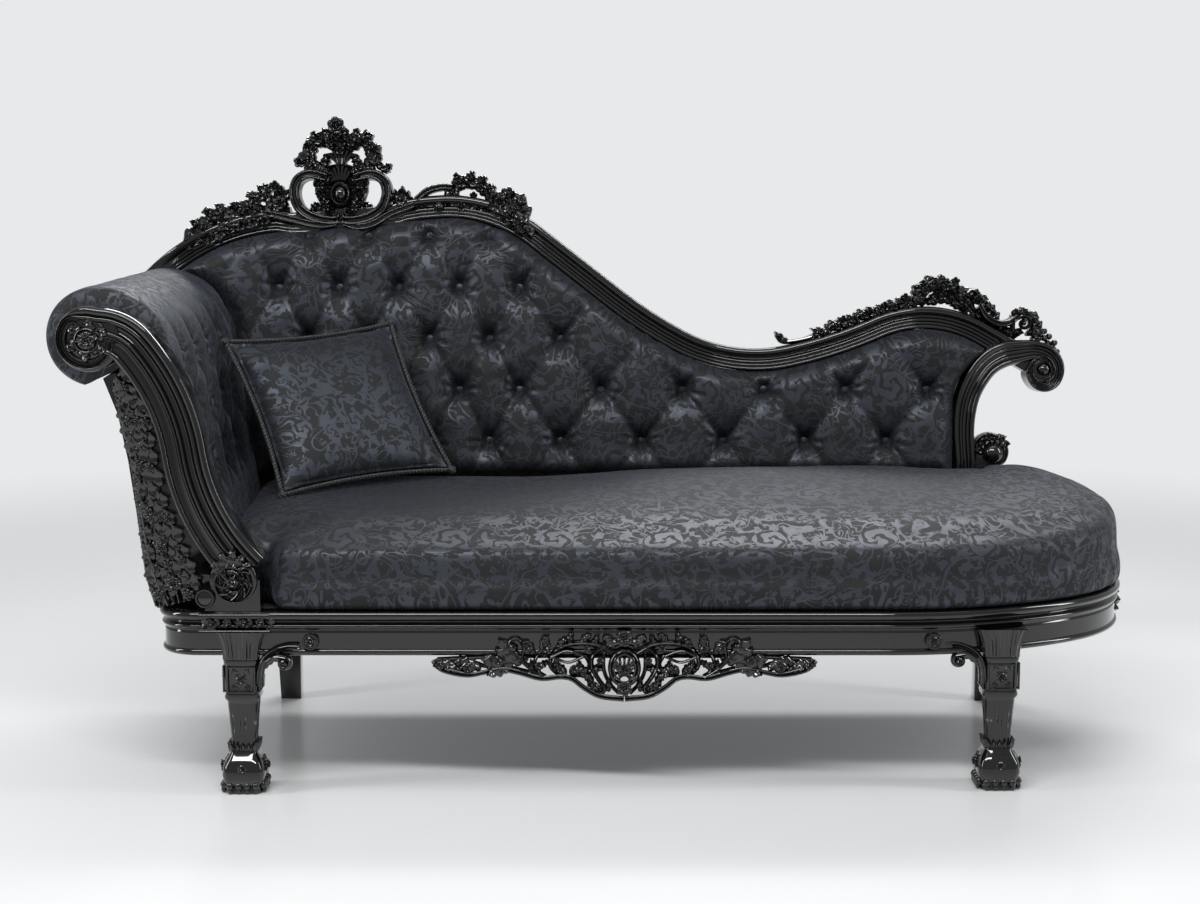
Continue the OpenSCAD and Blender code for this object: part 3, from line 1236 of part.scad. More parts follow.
// Loose square pillow that leans in the corner of the back and the arm
pillow_at = [-526, 83.2, 637.6];
pillow_half = pillow_side / 2;
function drawn_in(a) = 1 - 0.07 * (1 - a * a);
function pillow_point(u, w, face) = [
    pillow_half * u * drawn_in(w),
    face * pillow_t / 2 * pow((1 - pow(u, 4)) * (1 - pow(w, 4)), 0.5) * (1 - 0.12 * (u * u + w * w)),
    pillow_half * w * drawn_in(u)];
module at_pillow() translate(pillow_at)
    rotate([0, 0, 28.1]) rotate([-40.2, 0, 0]) rotate([0, -4.5, 0]) children();
module pillow() {
    k = 7;
    m = 2 * k + 1;
    g = [for (i = [-k : k]) sin(90 * i / k)];
    front = [for (i = [0 : m - 1], j = [0 : m - 1]) pillow_point(g[i], g[j], -1)];
    back = [for (i = [1 : m - 2], j = [1 : m - 2]) pillow_point(g[i], g[j], 1)];
    function at_back(i, j) = i == 0 || j == 0 || i == m - 1 || j == m - 1
        ? i * m + j : m * m + (i - 1) * (m - 2) + j - 1;
    // each cell is cut along the diagonal that points to the nearest corner of the pillow
    function halves(a, b, c, d, split) = split ? [[a, b, d], [a, d, c]] : [[a, b, c], [c, b, d]];
    faces = [for (i = [0 : m - 2], j = [0 : m - 2]) let (split = (i < k) == (j < k)) each concat(
        halves(i * m + j, i * m + j + 1, (i + 1) * m + j, (i + 1) * m + j + 1, split),
        halves(at_back(i, j), at_back(i + 1, j), at_back(i, j + 1), at_back(i + 1, j + 1), split))];
    color(damask_light) at_pillow() polyhedron(concat(front, back), faces, convexity = 4);
}
// The cord runs round the seam, with a knot at each corner
cord_turns = 16;
cord_sides = 8;
function seam(i) =
    let (q = floor(i / cord_turns) % 4, t = -1 + 2 * (i % cord_turns) / cord_turns,
         uw = q == 0 ? [t, -1] : q == 1 ? [1, t] : q == 2 ? [-t, 1] : [-1, -t])
    pillow_point(uw.x, uw.y, 0);
module pillow_cord() {
    n = 4 * cord_turns;
    rings = [for (i = [0 : n - 1])
        let (a = seam((i + n - 1) % n), b = seam((i + 1) % n), t = b - a,
             out = [t.z, 0, -t.x] / norm([t.x, t.z]),
             r = pillow_cord_d / 2 * (i % cord_turns == 0 ? 1.9 : 1),
             c = seam(i) + out * (r + soft_gap))
        each [for (j = [0 : cord_sides - 1]) let (f = 360 * (j + 0.5) / cord_sides)
            c + out * r * cos(f) + [0, r * sin(f), 0]]];
    faces = [for (i = [0 : n - 1], j = [0 : cord_sides - 1])
        let (a = i * cord_sides + j, b = i * cord_sides + (j + 1) % cord_sides,
             c = ((i + 1) % n) * cord_sides + j, d = ((i + 1) % n) * cord_sides + (j + 1) % cord_sides)
        each [[a, c, b], [b, c, d]]];
    color(damask_light) at_pillow() polyhedron(rings, faces, convexity = 4);
}

front_rail();
end_rail();
back_rail();
left_end_rail();
cross_rails();
leg_blocks();
leg_bolts();
front_left_leg();
front_right_leg();
back_left_leg();
back_right_leg();
leg_brackets();
rail_rosettes();
apron_carving();
end_cartouches();
cross_webbing();
long_webbing();
dust_cover();
seat_cushion();
back_top_rail();
c_scroll();
lower_scroll();
arm_rear_post();
back_bottom_rail();
back_board();
back_upholstery();
back_buttons();
back_outer_cover();
crest_loops();
crest_cartouche();
crest_crown();
left_garland();
right_garland();
end_garland();
arm_front_post();
arm_volute_rosette();
arm_foot_swirl();
arm_front_panel();
arm_roll_core();
arm_board();
arm_outer_cover();
arm_upholstery();
arm_buttons();
pillow();
pillow_cord();
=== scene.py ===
"""Looks of the chaise longue: black lacquered carving, damask upholstery, a loose pillow."""
import math
import bmesh
import bpy
from mathutils import Matrix, Vector, noise


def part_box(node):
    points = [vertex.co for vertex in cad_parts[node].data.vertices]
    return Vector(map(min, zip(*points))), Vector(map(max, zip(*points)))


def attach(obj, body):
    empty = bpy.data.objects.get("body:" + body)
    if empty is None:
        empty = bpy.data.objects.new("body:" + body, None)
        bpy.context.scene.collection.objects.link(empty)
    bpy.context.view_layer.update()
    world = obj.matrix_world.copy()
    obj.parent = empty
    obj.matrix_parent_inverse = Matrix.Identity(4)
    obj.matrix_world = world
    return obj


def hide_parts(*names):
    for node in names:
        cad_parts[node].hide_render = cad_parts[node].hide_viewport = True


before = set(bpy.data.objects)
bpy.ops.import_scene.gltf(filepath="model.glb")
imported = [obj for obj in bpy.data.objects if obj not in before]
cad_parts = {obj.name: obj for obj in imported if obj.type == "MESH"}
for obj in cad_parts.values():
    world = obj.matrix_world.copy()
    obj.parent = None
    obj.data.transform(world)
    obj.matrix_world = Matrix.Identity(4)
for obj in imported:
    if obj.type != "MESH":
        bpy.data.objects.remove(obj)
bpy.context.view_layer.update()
MM = 0.001


# Camera and lamps
def set_camera():
    """The camera that took the photo, as fitted to it."""
    data = bpy.data.cameras.new("photo_camera")
    data.sensor_width, data.lens = 36.0, 66.1
    camera = bpy.data.objects.new("photo_camera", data)
    camera.location = (-0.018, -4.173, 1.130)
    camera.rotation_euler = (math.radians(90 - 7.8), 0, 0)
    bpy.context.scene.collection.objects.link(camera)
    bpy.context.scene.camera = camera
    bpy.context.scene.view_settings.view_transform = "Standard"


def lamp(name, at, aim, size, watts, size_y=None):
    """A rectangular lamp that faces a place."""
    data = bpy.data.lights.new(name, "AREA")
    data.energy, data.size = watts, size
    if size_y:
        data.shape, data.size_y = "RECTANGLE", size_y
    light = bpy.data.objects.new(name, data)
    light.location = at
    light.rotation_euler = (Vector(aim) - Vector(at)).to_track_quat("-Z", "Y").to_euler()
    bpy.context.scene.collection.objects.link(light)


# Shader sums
class Value:
    """A socket in a finish, with ordinary sums on it."""

    def __init__(self, finish, socket):
        self.finish, self.socket = finish, socket

    def math(self, operation, *values):
        return self.finish.add("ShaderNodeMath", {"operation": operation}, values)

    def __add__(self, other): return self.math("ADD", self, other)
    def __sub__(self, other): return self.math("SUBTRACT", self, other)
    def __rsub__(self, other): return self.math("SUBTRACT", other, self)
    def __mul__(self, other): return self.math("MULTIPLY", self, other)
    def __truediv__(self, other): return self.math("DIVIDE", self, other)
    def __rtruediv__(self, other): return self.math("DIVIDE", other, self)
    __radd__, __rmul__ = __add__, __mul__

    def sin(self): return self.math("SINE", self)
    def abs(self): return self.math("ABSOLUTE", self)
    def floor(self): return self.math("FLOOR", self)
    def fract(self): return self.math("FRACT", self)
    def sqrt(self): return self.math("SQRT", self)
    def most(self, other): return self.math("MAXIMUM", self, other)
    def least(self, other): return self.math("MINIMUM", self, other)

    def step(self, low, high):
        """0 below low, 1 above high, smooth between."""
        return self.finish.add("ShaderNodeMapRange", {"interpolation_type": "SMOOTHSTEP"},
                               {"Value": self, "From Min": low, "From Max": high}, "Result")


class Finish:
    """One material: a Principled shader and what varies over it."""

    def __init__(self, name, **fixed):
        self.material = bpy.data.materials.new(name)
        self.material.use_nodes = True
        self.nodes, self.links = self.material.node_tree.nodes, self.material.node_tree.links
        self.shader = next(n for n in self.nodes if n.type == "BSDF_PRINCIPLED")
        for key, value in fixed.items():
            self.put(self.shader.inputs[key.replace("_", " ")], value)

    def put(self, socket, value):
        if isinstance(value, Value):
            self.links.new(value.socket, socket)
        else:
            socket.default_value = value

    def add(self, kind, settings=None, values=(), out=0):
        node = self.nodes.new(kind)
        for key, value in (settings or {}).items():
            setattr(node, key, value)
        pairs = values.items() if isinstance(values, dict) else enumerate(values)
        for key, value in pairs:
            self.put(node.inputs[key], value)
        return Value(self, node.outputs[out])

    def paint(self, **values):
        for key, value in values.items():
            self.put(self.shader.inputs[key.replace("_", " ")], value)
        return self.material

    def place(self):
        return self.add("ShaderNodeTexCoord", out="Object")

    def cloth(self):
        return self.add("ShaderNodeUVMap", {"uv_map": "cloth"})

    def noise(self, at, scale, detail=3.0, rough=0.5, bend=0.0, out="Fac"):
        return self.add("ShaderNodeTexNoise", values={
            "Vector": at, "Scale": scale, "Detail": detail, "Roughness": rough,
            "Distortion": bend}, out=out)

    def vector(self, operation, *values):
        return self.add("ShaderNodeVectorMath", {"operation": operation}, values)

    def moved(self, at, amount, scale):
        """The place, swayed by a slow noise, so that a drawn figure looks drawn by hand."""
        sway = self.vector("SUBTRACT", self.noise(at, scale, 2.0, out="Color"), (0.5, 0.5, 0.5))
        return self.vector("ADD", at, self.vector("MULTIPLY", sway, (amount, amount, 0)))

    def parts(self, at):
        node = self.nodes.new("ShaderNodeSeparateXYZ")
        self.links.new(at.socket, node.inputs[0])
        return [Value(self, s) for s in node.outputs]

    def mix(self, share, one, two):
        node = self.nodes.new("ShaderNodeMix")
        node.data_type = "RGBA"
        for key, value in (("Factor_Float", share), ("A_Color", one), ("B_Color", two)):
            self.put(next(s for s in node.inputs if s.identifier == key), value)
        return Value(self, next(s for s in node.outputs if s.identifier == "Result_Color"))

    def bump(self, height, distance, strength=1.0):
        return self.add("ShaderNodeBump", values={
            "Height": height, "Distance": distance, "Strength": strength})


# Finishes
def lacquer():
    """Black lacquer over wood: a faint grain, hairline rubbing, edges a little worn."""
    f = Finish("black_lacquer", Coat_Roughness=0.03, Specular_IOR_Level=0.2)
    at = f.place()
    rub = f.noise(at, 9.0, 4.0)
    grain = f.noise(f.vector("MULTIPLY", at, (2.5, 30.0, 30.0)), 6.0, 3.0)
    edge = f.add("ShaderNodeNewGeometry", out="Pointiness").step(0.53, 0.62)
    worn = edge * rub.step(0.42, 0.62)
    black = f.mix(grain, (0.0018, 0.0018, 0.002, 1), (0.0036, 0.0036, 0.004, 1))
    return f.paint(Base_Color=f.mix(worn * 0.3, black, (0.03, 0.027, 0.024, 1)),
                   Roughness=0.07 + rub * 0.06 + worn * 0.15, Coat_Weight=1.0 - worn * 0.4,
                   Normal=f.bump(grain * 0.5 + rub * 0.5, 0.0003, 0.08))


def damask(name, ground, figure, repeat=0.19, sheen=0.3):
    """Silk damask: satin roses, curling stems and blotched leaves on a dull ground."""
    f = Finish(name, Sheen_Weight=sheen, Sheen_Roughness=0.35, Sheen_Tint=(0.6, 0.68, 0.85, 1.0),
               Specular_IOR_Level=0.4)
    flat = f.cloth()
    swayed = f.moved(flat, 0.03, 12.0)
    u, v, _ = f.parts(swayed)

    def rose(shift_u, shift_v, size):
        """Petals wound round a middle, on places that are staggered row by row."""
        row = (v + shift_v) / (repeat * 1.15)
        column = (u + shift_u) / repeat + row.floor() * 0.5
        x, y = (column.fract() - 0.5) * repeat, (row.fract() - 0.5) * (repeat * 1.15)
        r = (x * x + y * y).sqrt() / size
        turn = f.add("ShaderNodeMath", {"operation": "ARCTAN2"}, (y, x))
        petals = (turn * 2.0 + r * 8.5 + (turn * 5.0).sin() * 0.7).sin()
        inside = 1.0 - r.step(0.85, 0.98)
        return petals.step(-0.7, -0.3) * inside, inside

    rose_1, inside_1 = rose(0.0, 0.0, repeat * 0.19)
    rose_2, inside_2 = rose(repeat * 0.5, repeat * 0.12, repeat * 0.12)
    inside = inside_1.most(inside_2)
    stems = f.noise(flat, 10.0, 1.0, bend=0.9)
    vines = 1.0 - ((stems * 7.0).fract() - 0.5).abs().step(0.05, 0.11)
    blots = f.noise(swayed, 46.0, 5.0, 0.66, 0.5)
    zone = f.noise(flat, 9.0, 1.0).step(0.4, 0.5)
    leaves = blots.step(0.5, 0.54) * zone
    curls = f.noise(swayed, 20.0, 1.0, bend=1.4)
    sprays = 1.0 - ((curls * 6.0).fract() - 0.5).abs().step(0.13, 0.2)
    speck = f.noise(flat, 150.0, 2.0)
    between = (vines * 0.7).most(leaves).most(sprays * (1.0 - zone))
    figures = (rose_1.most(rose_2) * inside).most((1.0 - inside) * between)
    mask = (figures + (speck - 0.5) * 0.6).step(0.3, 0.75)
    tu, tv, _ = f.parts(flat)
    warp = (tu * 5200.0).sin() * 0.5 + 0.5
    weft = (tv * 4600.0).sin() * 0.5 + 0.5
    weave = mask * warp + (1.0 - mask) * weft * warp
    slub = f.noise(f.vector("MULTIPLY", flat, (40.0, 700.0, 1.0)), 1.0, 2.0)
    worn = f.noise(flat, 4.0, 3.0).step(0.25, 0.75)
    tone = mask * (0.72 + worn * 0.28) * (0.8 + slub * 0.4)
    return f.paint(Base_Color=f.mix(tone, ground, figure), Metallic=mask * 0.55,
                   Roughness=0.64 - mask * 0.27 + slub * 0.08,
                   Normal=f.bump(weave * 0.3 + mask * 0.7 + slub * 0.3, 0.0005, 0.5))


def plain_cloth(name, ground, figure, pitch, rough=0.75, sheen=0.1):
    """A coarse weave in two tones."""
    f = Finish(name, Sheen_Weight=sheen, Sheen_Roughness=0.5)
    at = f.place()
    x, y, z = f.parts(at)
    across = (x * (6.2832 / pitch)).sin() * ((y + z) * (6.2832 / pitch)).sin()
    blotch = f.noise(at, 30.0, 3.0)
    return f.paint(Base_Color=f.mix((across * 0.25 + 0.5) * (0.6 + blotch * 0.7), ground, figure),
                   Roughness=rough + blotch * 0.15,
                   Normal=f.bump(across * 0.5 + blotch * 0.5, 0.0006, 0.6))


def bare_wood(name, light, dark):
    """Unfinished wood with rings and pores."""
    f = Finish(name, Specular_IOR_Level=0.3)
    at = f.place()
    rings = f.noise(f.vector("MULTIPLY", at, (1.2, 14.0, 14.0)), 5.0, 5.0)
    pores = f.noise(f.vector("MULTIPLY", at, (12.0, 220.0, 220.0)), 1.0, 2.0)
    return f.paint(Base_Color=f.mix(rings * 0.8 + pores * 0.2, light, dark),
                   Roughness=0.55 + pores * 0.2, Normal=f.bump(rings + pores, 0.0005, 0.4))


def satin_cord():
    """Black satin thread."""
    f = Finish("satin_cord", Sheen_Weight=0.2, Specular_IOR_Level=0.5)
    strand = f.noise(f.place(), 900.0, 2.0)
    return f.paint(Base_Color=f.mix(strand, (0.003, 0.003, 0.0035, 1), (0.014, 0.0145, 0.017, 1)),
                   Roughness=0.28 + strand * 0.2, Normal=f.bump(strand, 0.0003, 0.5))


def bright_steel():
    """Zinc-bright steel, lightly scratched."""
    f = Finish("bolt_steel", Metallic=1.0)
    scratch = f.noise(f.place(), 120.0, 3.0)
    return f.paint(Base_Color=f.mix(scratch, (0.42, 0.43, 0.45, 1), (0.6, 0.61, 0.63, 1)),
                   Roughness=0.25 + scratch * 0.2, Normal=f.bump(scratch, 0.0002, 0.3))


BACKDROP = (0.80, 0.815, 0.825, 1.0)


def pale_floor():
    """A polished pale floor, which runs out into the backdrop's colour away from the object."""
    f = Finish("pale_floor", Specular_IOR_Level=0.35)
    at = f.place()
    cloud = f.noise(at, 0.6, 2.0)
    surface = f.paint(Base_Color=f.mix(cloud, (0.83, 0.835, 0.84, 1), (0.86, 0.865, 0.87, 1)),
                      Roughness=0.16 + cloud * 0.06)
    far = f.add("ShaderNodeVectorMath", {"operation": "LENGTH"}, (at,), "Value").step(1.5, 4.2)
    seen = f.add("ShaderNodeLightPath", out="Is Camera Ray")
    glow = f.add("ShaderNodeEmission", values={"Color": BACKDROP, "Strength": 1.0})
    blend = f.nodes.new("ShaderNodeMixShader")
    f.put(blend.inputs[0], far * seen)
    f.links.new(f.shader.outputs[0], blend.inputs[1])
    f.links.new(glow.socket, blend.inputs[2])
    out = next(n for n in f.nodes if n.type == "OUTPUT_MATERIAL")
    f.links.new(blend.outputs[0], out.inputs[0])
    return surface


FINISHES = {
    "lacquered_wood": lacquer(),
    "damask": damask("damask", (0.004, 0.0043, 0.0052, 1), (0.05, 0.056, 0.07, 1), sheen=0.14),
    "pillow_damask": damask("pillow_damask", (0.007, 0.0077, 0.0095, 1), (0.052, 0.06, 0.076, 1),
                            repeat=0.11, sheen=0.16),
    "satin_cord": satin_cord(),
    "inner_wood": bare_wood("inner_wood", (0.11, 0.075, 0.045, 1), (0.05, 0.032, 0.018, 1)),
    "jute_webbing": plain_cloth("jute_webbing", (0.006, 0.006, 0.006, 1), (0.02, 0.019, 0.018, 1), 0.004),
    "cambric": plain_cloth("cambric", (0.008, 0.008, 0.009, 1), (0.02, 0.02, 0.021, 1), 0.0025),
    "bolt_steel": bright_steel(),
}


# Pieces
def piece(name, bm, slot, body="chaise", replaces=(), smooth=35):
    """Makes a finished piece of a bmesh: its finish, its body and the nodes it stands for."""
    mesh = bpy.data.meshes.new(name)
    bm.to_mesh(mesh)
    bm.free()
    mesh.polygons.foreach_set("use_smooth", [True] * len(mesh.polygons))
    if smooth < 180:
        mesh.set_sharp_from_angle(angle=math.radians(smooth))
    obj = bpy.data.objects.new(name, mesh)
    bpy.context.scene.collection.objects.link(obj)
    return dress(obj, slot, body, replaces)


def dress(obj, slot, body, replaces):
    """Gives an object its finish, its body and the nodes that it stands for."""
    obj.data.materials.clear()
    obj.data.materials.append(FINISHES[slot])
    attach(obj, body)
    if replaces:
        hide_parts(*replaces)
    return obj


def solid_of(node):
    """The CAD node's own shape, merged, to be finished further."""
    bm = bmesh.new()
    bm.from_mesh(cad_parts[node].data)
    bmesh.ops.remove_doubles(bm, verts=bm.verts, dist=2e-6)
    bmesh.ops.dissolve_degenerate(bm, edges=bm.edges, dist=1e-6)
    return bm


def eased(bm, width=0.0009, angle=38):
    """Takes the sharp edges off a solid, as sanding and lacquer do."""
    bmesh.ops.dissolve_limit(bm, angle_limit=math.radians(0.3), use_dissolve_boundaries=False,
                             verts=bm.verts, edges=bm.edges)
    sharp = [e for e in bm.edges if len(e.link_faces) == 2
             and e.calc_face_angle(0) > math.radians(angle)]
    bmesh.ops.bevel(bm, geom=sharp, offset=width, segments=2, profile=0.5, affect="EDGES",
                    clamp_overlap=True, material=-1)
    return bm


def cloth_map(obj, flat_of):
    """Writes the cloth's own flat coordinates, in metres, as its UV map."""
    layer = obj.data.uv_layers.new(name="cloth")
    flat = [flat_of(v.co) for v in obj.data.vertices]
    for loop in obj.data.loops:
        layer.data[loop.index].uv = flat[loop.vertex_index]


# Measures of the frame, in mm
def arc_centre(p, q):
    side = 1 if q[1] > 0 else -1
    return (p[0] - side * q[0] * math.sin(p[2]), p[1] + side * q[0] * math.cos(p[2]))


def piece_end(p, q):
    if q[0] == 0:
        return (p[0] + q[1] * math.cos(p[2]), p[1] + q[1] * math.sin(p[2]), p[2])
    side = 1 if q[1] > 0 else -1
    cx, cy = arc_centre(p, q)
    h = p[2] + q[1]
    return (cx + side * q[0] * math.sin(h), cy - side * q[0] * math.cos(h), h)


def turns(*pairs):
    return [(r, math.radians(t) if r else t) for r, t in pairs]


BACK_PIECES = turns((400, -45), (0, 325), (290, -43), (0, 205), (900, 10), (330, 40), (900, 12),
                    (235, -54), (0, 115))
back_ends = [(-948, 522, math.radians(50))]
for part in BACK_PIECES:
    back_ends.append(piece_end(back_ends[-1], part))


def along(x, off, i=0):
    """Height of a line that runs off to the left of the rail's middle line, at x."""
    while True:
        p, q, h = back_ends[i], BACK_PIECES[i], back_ends[i + 1][2]
        if x > back_ends[i + 1][0] - off * math.sin(h) and i < len(BACK_PIECES) - 1:
            i += 1
            continue
        if q[0] == 0:
            return p[1] + off * math.cos(p[2]) + (x - p[0] + off * math.sin(p[2])) * math.tan(p[2])
        side = 1 if q[1] > 0 else -1
        cx, cy = arc_centre(p, q)
        r = q[0] - side * off
        return cy - side * math.sqrt(max(0, r * r - (x - cx) ** 2))


RAKE = math.radians(5)
RAIL_TOP = 327
# The arm's cloth bends over one arc and rolls round another, both with their middle at ARM_X
ARM_X = -903
BEND_Z, BEND_R = 745, 148
ROLL_Z, ROLL_R = 805, 88
# How far the seat's crown rises at the back of its foot half, in metres
SEAT_RISE = 0.02
on_back = (Matrix.Translation((0, 0.275, 0.327)) @ Matrix.Rotation(math.radians(85), 4, "X")
           @ Matrix.Scale(MM, 4))


def on_front(y, x=0, z=0):
    """Places what is drawn upright, across and up, on a plane that faces the front."""
    return (Matrix.Translation((x * MM, y * MM, z * MM)) @ Matrix.Rotation(math.radians(90), 4, "X")
            @ Matrix.Scale(MM, 4))


tip = back_ends[-1]
scroll_at = Vector((tip[0] - 43.6, tip[1] - 90))
arm_at = Vector((ARM_X, (BEND_Z - RAIL_TOP) / math.cos(RAKE)))
SLOPE = math.radians(8)
arm_axis = Vector((math.cos(SLOPE), math.sin(SLOPE)))


def from_arm(x, v):
    """How far a place on the back lies outside the arm's padding."""
    q = Vector((x, v)) - arm_at
    return (q.length if math.atan2(q.y, q.x) > SLOPE else q.dot(arm_axis)) - BEND_R


def from_scroll(x, v):
    """How far a place on the back lies outside the C scroll."""
    q = Vector((x, v)) - scroll_at
    return q.length - 112 if q.y > 0 else -112 - q.x


def pad_gaps(x, v, under_arm=7.0):
    """How far a place lies inside each side of the back's padding."""
    return (v - 142.0, along(x, -23) - 1.2 - v, from_arm(x, v) + under_arm, from_scroll(x, v) - 2.0)


def sunk(a, b, r, turn, seed, pitch=105.0):
    """How far the cloth is drawn in: a pit at a button, folds to the next ones and small pleats."""
    near = min(abs(a - round(a)), abs(b - round(b))) * pitch
    by_button = math.exp(-(r / 46) ** 2)
    pit = 22 * math.exp(-(r / 17) ** 2) + 11 * by_button
    fold = 7 * math.exp(-(near / 6.5) ** 2) * (0.25 + 0.75 * by_button) + 4.5 * math.exp(-(near / 24) ** 2)
    waves = math.cos(9 * turn + seed) + 0.6 * math.cos(14 * turn + 2 * seed)
    pleat = math.exp(-((r - 24) / 15) ** 2) * waves
    return pit + fold + 1.7 * pleat


def nearest(x, v, spots):
    """Distance, direction and number of the nearest button."""
    r, k = min((math.hypot(x - bx, v - bv), k) for k, (bx, bv) in enumerate(spots))
    return r, math.atan2(v - spots[k][1], x - spots[k][0]), k


def tuft_at(x, v):
    """Column and row of a place on the back, in buttons."""
    n = (x + 182) * 2 / (166 if x > -182 else 122)
    return n, (v - 216) / 104


def button_places():
    """Staggered rows of buttons, where the padding is wide enough for them."""
    for k in range(5):
        for n in range(-11, 12):
            x, v = -182 + n * (83 if n > 0 else 61), 216 + k * 104
            if (n + k) % 2 and min(pad_gaps(x, v, -1.2)) > (22 if k < 4 else 9) and x < scroll_at.x - 114:
                yield x, v


BUTTONS = list(button_places())


def back_height(x, v):
    """Height of the tufted cloth above the back's plane."""
    edge = max(0.0, min(pad_gaps(x, v)))
    e = 1 - (1 - min(1, edge / 40)) ** 2.4
    n, k = tuft_at(x, v)
    pitch = 105 if x < -182 else 130
    drawn = sunk((n + k - 1) / 2, (n - k - 1) / 2, *nearest(x, v, BUTTONS), pitch)
    loose = 1.6 * noise.noise(Vector((x, v, 0)) / 46) * e
    return 2 + 38 * e - drawn * (0.35 + 0.65 * e) + loose


# Upholstery
def make_back_pad():
    cell = 4.2
    x0, x1, v0, v1 = -868.0, 764.0, 140.0, 720.0
    nx, nv = int((x1 - x0) / cell), int((v1 - v0) / cell)
    bm = bmesh.new()
    bmesh.ops.create_grid(bm, x_segments=nx, y_segments=nv, size=0.5)
    for vert in bm.verts:
        vert.co = ((vert.co.x + 0.5) * (x1 - x0) + x0, (vert.co.y + 0.5) * (v1 - v0) + v0, 0)
    inside = {vert: min(pad_gaps(vert.co.x, vert.co.y)) for vert in bm.verts}
    outside = [f for f in bm.faces if sum(inside[v] for v in f.verts) < 0
               or min(inside[v] for v in f.verts) < -cell * 1.2]
    bmesh.ops.delete(bm, geom=outside, context="FACES")
    for _ in range(2):
        loose = [f for f in bm.faces if sum(1 for e in f.edges if e.is_boundary) > 2]
        bmesh.ops.delete(bm, geom=loose, context="FACES")
    rim = [v for v in bm.verts if v.is_boundary]
    for vert in rim:
        for _ in range(4):
            x, v = vert.co.x, vert.co.y
            gaps = pad_gaps(x, v)
            i = min(range(4), key=lambda k: abs(gaps[k]))
            gx = (pad_gaps(x + 0.5, v)[i] - gaps[i]) / 0.5
            gv = (pad_gaps(x, v + 0.5)[i] - gaps[i]) / 0.5
            norm = max(0.2, gx * gx + gv * gv)
            vert.co.x -= gaps[i] * gx / norm
            vert.co.y -= gaps[i] * gv / norm
    inner = [v for v in bm.verts if not v.is_boundary]
    near = [v for v in inner if min(pad_gaps(v.co.x, v.co.y)) < cell * 2.5]
    for _ in range(3):
        bmesh.ops.smooth_vert(bm, verts=near, factor=0.5, use_axis_x=True, use_axis_y=True)
    flat = {v: (v.co.x, v.co.y) for v in bm.verts}
    for vert, (x, v) in flat.items():
        vert.co.z = back_height(x, v)
    edges = [e for e in bm.edges if e.is_boundary]
    walls = bmesh.ops.extrude_edge_only(bm, edges=edges)
    for vert in [g for g in walls["geom"] if isinstance(g, bmesh.types.BMVert)]:
        vert.co.z = -19.4
    bmesh.ops.contextual_create(bm, geom=[e for e in bm.edges if e.is_boundary])
    bmesh.ops.triangulate(bm, faces=[f for f in bm.faces if len(f.verts) > 4])
    bmesh.ops.recalc_face_normals(bm, faces=bm.faces)
    back = on_back.inverted()
    bmesh.ops.transform(bm, matrix=on_back, verts=bm.verts)
    pad = piece("back_pad_tufted", bm, "damask", replaces=("back_upholstery",), smooth=60)
    cloth_map(pad, lambda co: ((back @ co).x * MM, (back @ co).y * MM))
    return pad


BEND = BEND_R * (math.pi / 2 - SLOPE)


def arm_line(s, off=0.0):
    """The fabric's line over the arm: x, height and outward angle at a distance s."""
    if s < 0:
        x, z, _ = arm_line(0, off)
        return x - s * math.sin(SLOPE), z + s * math.cos(SLOPE), SLOPE
    if s < BEND:
        a = SLOPE + s / BEND_R
        return ARM_X + (BEND_R + off) * math.cos(a), BEND_Z + (BEND_R + off) * math.sin(a), a
    a = math.pi / 2 + (s - BEND) / ROLL_R
    return ARM_X + (ROLL_R + off) * math.cos(a), ROLL_Z + (ROLL_R + off) * math.sin(a), a


ARM_FOOT = -(arm_line(0)[1] - 327.3) / math.cos(SLOPE)
ARM_END = BEND + ROLL_R * math.radians(165)
ARM_FRONT = -325.7
ARM_BUTTONS = [(-row * 104, -280 + 122 * (k + (1 if row == 1 else 0.5)))
               for row in range(3) for k in range(4)]


def from_arm_side(x, z):
    """How far a place lies outside the arm's straight inner side."""
    return (Vector((x, z)) - Vector((ARM_X, BEND_Z))).dot(arm_axis) - BEND_R


def arm_back(z):
    """Where the arm's padding meets the leaning back, at a height."""
    return 275 + (z - RAIL_TOP) * math.tan(RAKE) - 0.3


def arm_height(s, y, y_back):
    """Height of the arm's cloth above its line."""
    m, n = s / 104, (y + 280) / 122 * 2 - 1
    fade = max(0, min(1, (s + 286) / 60)) * max(0, min(1, (130 - s) / 80))
    sink = 1.05 * fade * sunk((n + m) / 2, (n - m) / 2, *nearest(s, y, ARM_BUTTONS), 79.0)
    edge = min(y - ARM_FRONT, y_back - y)
    round_off = 9 * (1 - min(1, edge / 16)) ** 2
    return -sink - round_off + 1.2 * noise.noise(Vector((s, y, 5)) / 60) * min(1, edge / 30)


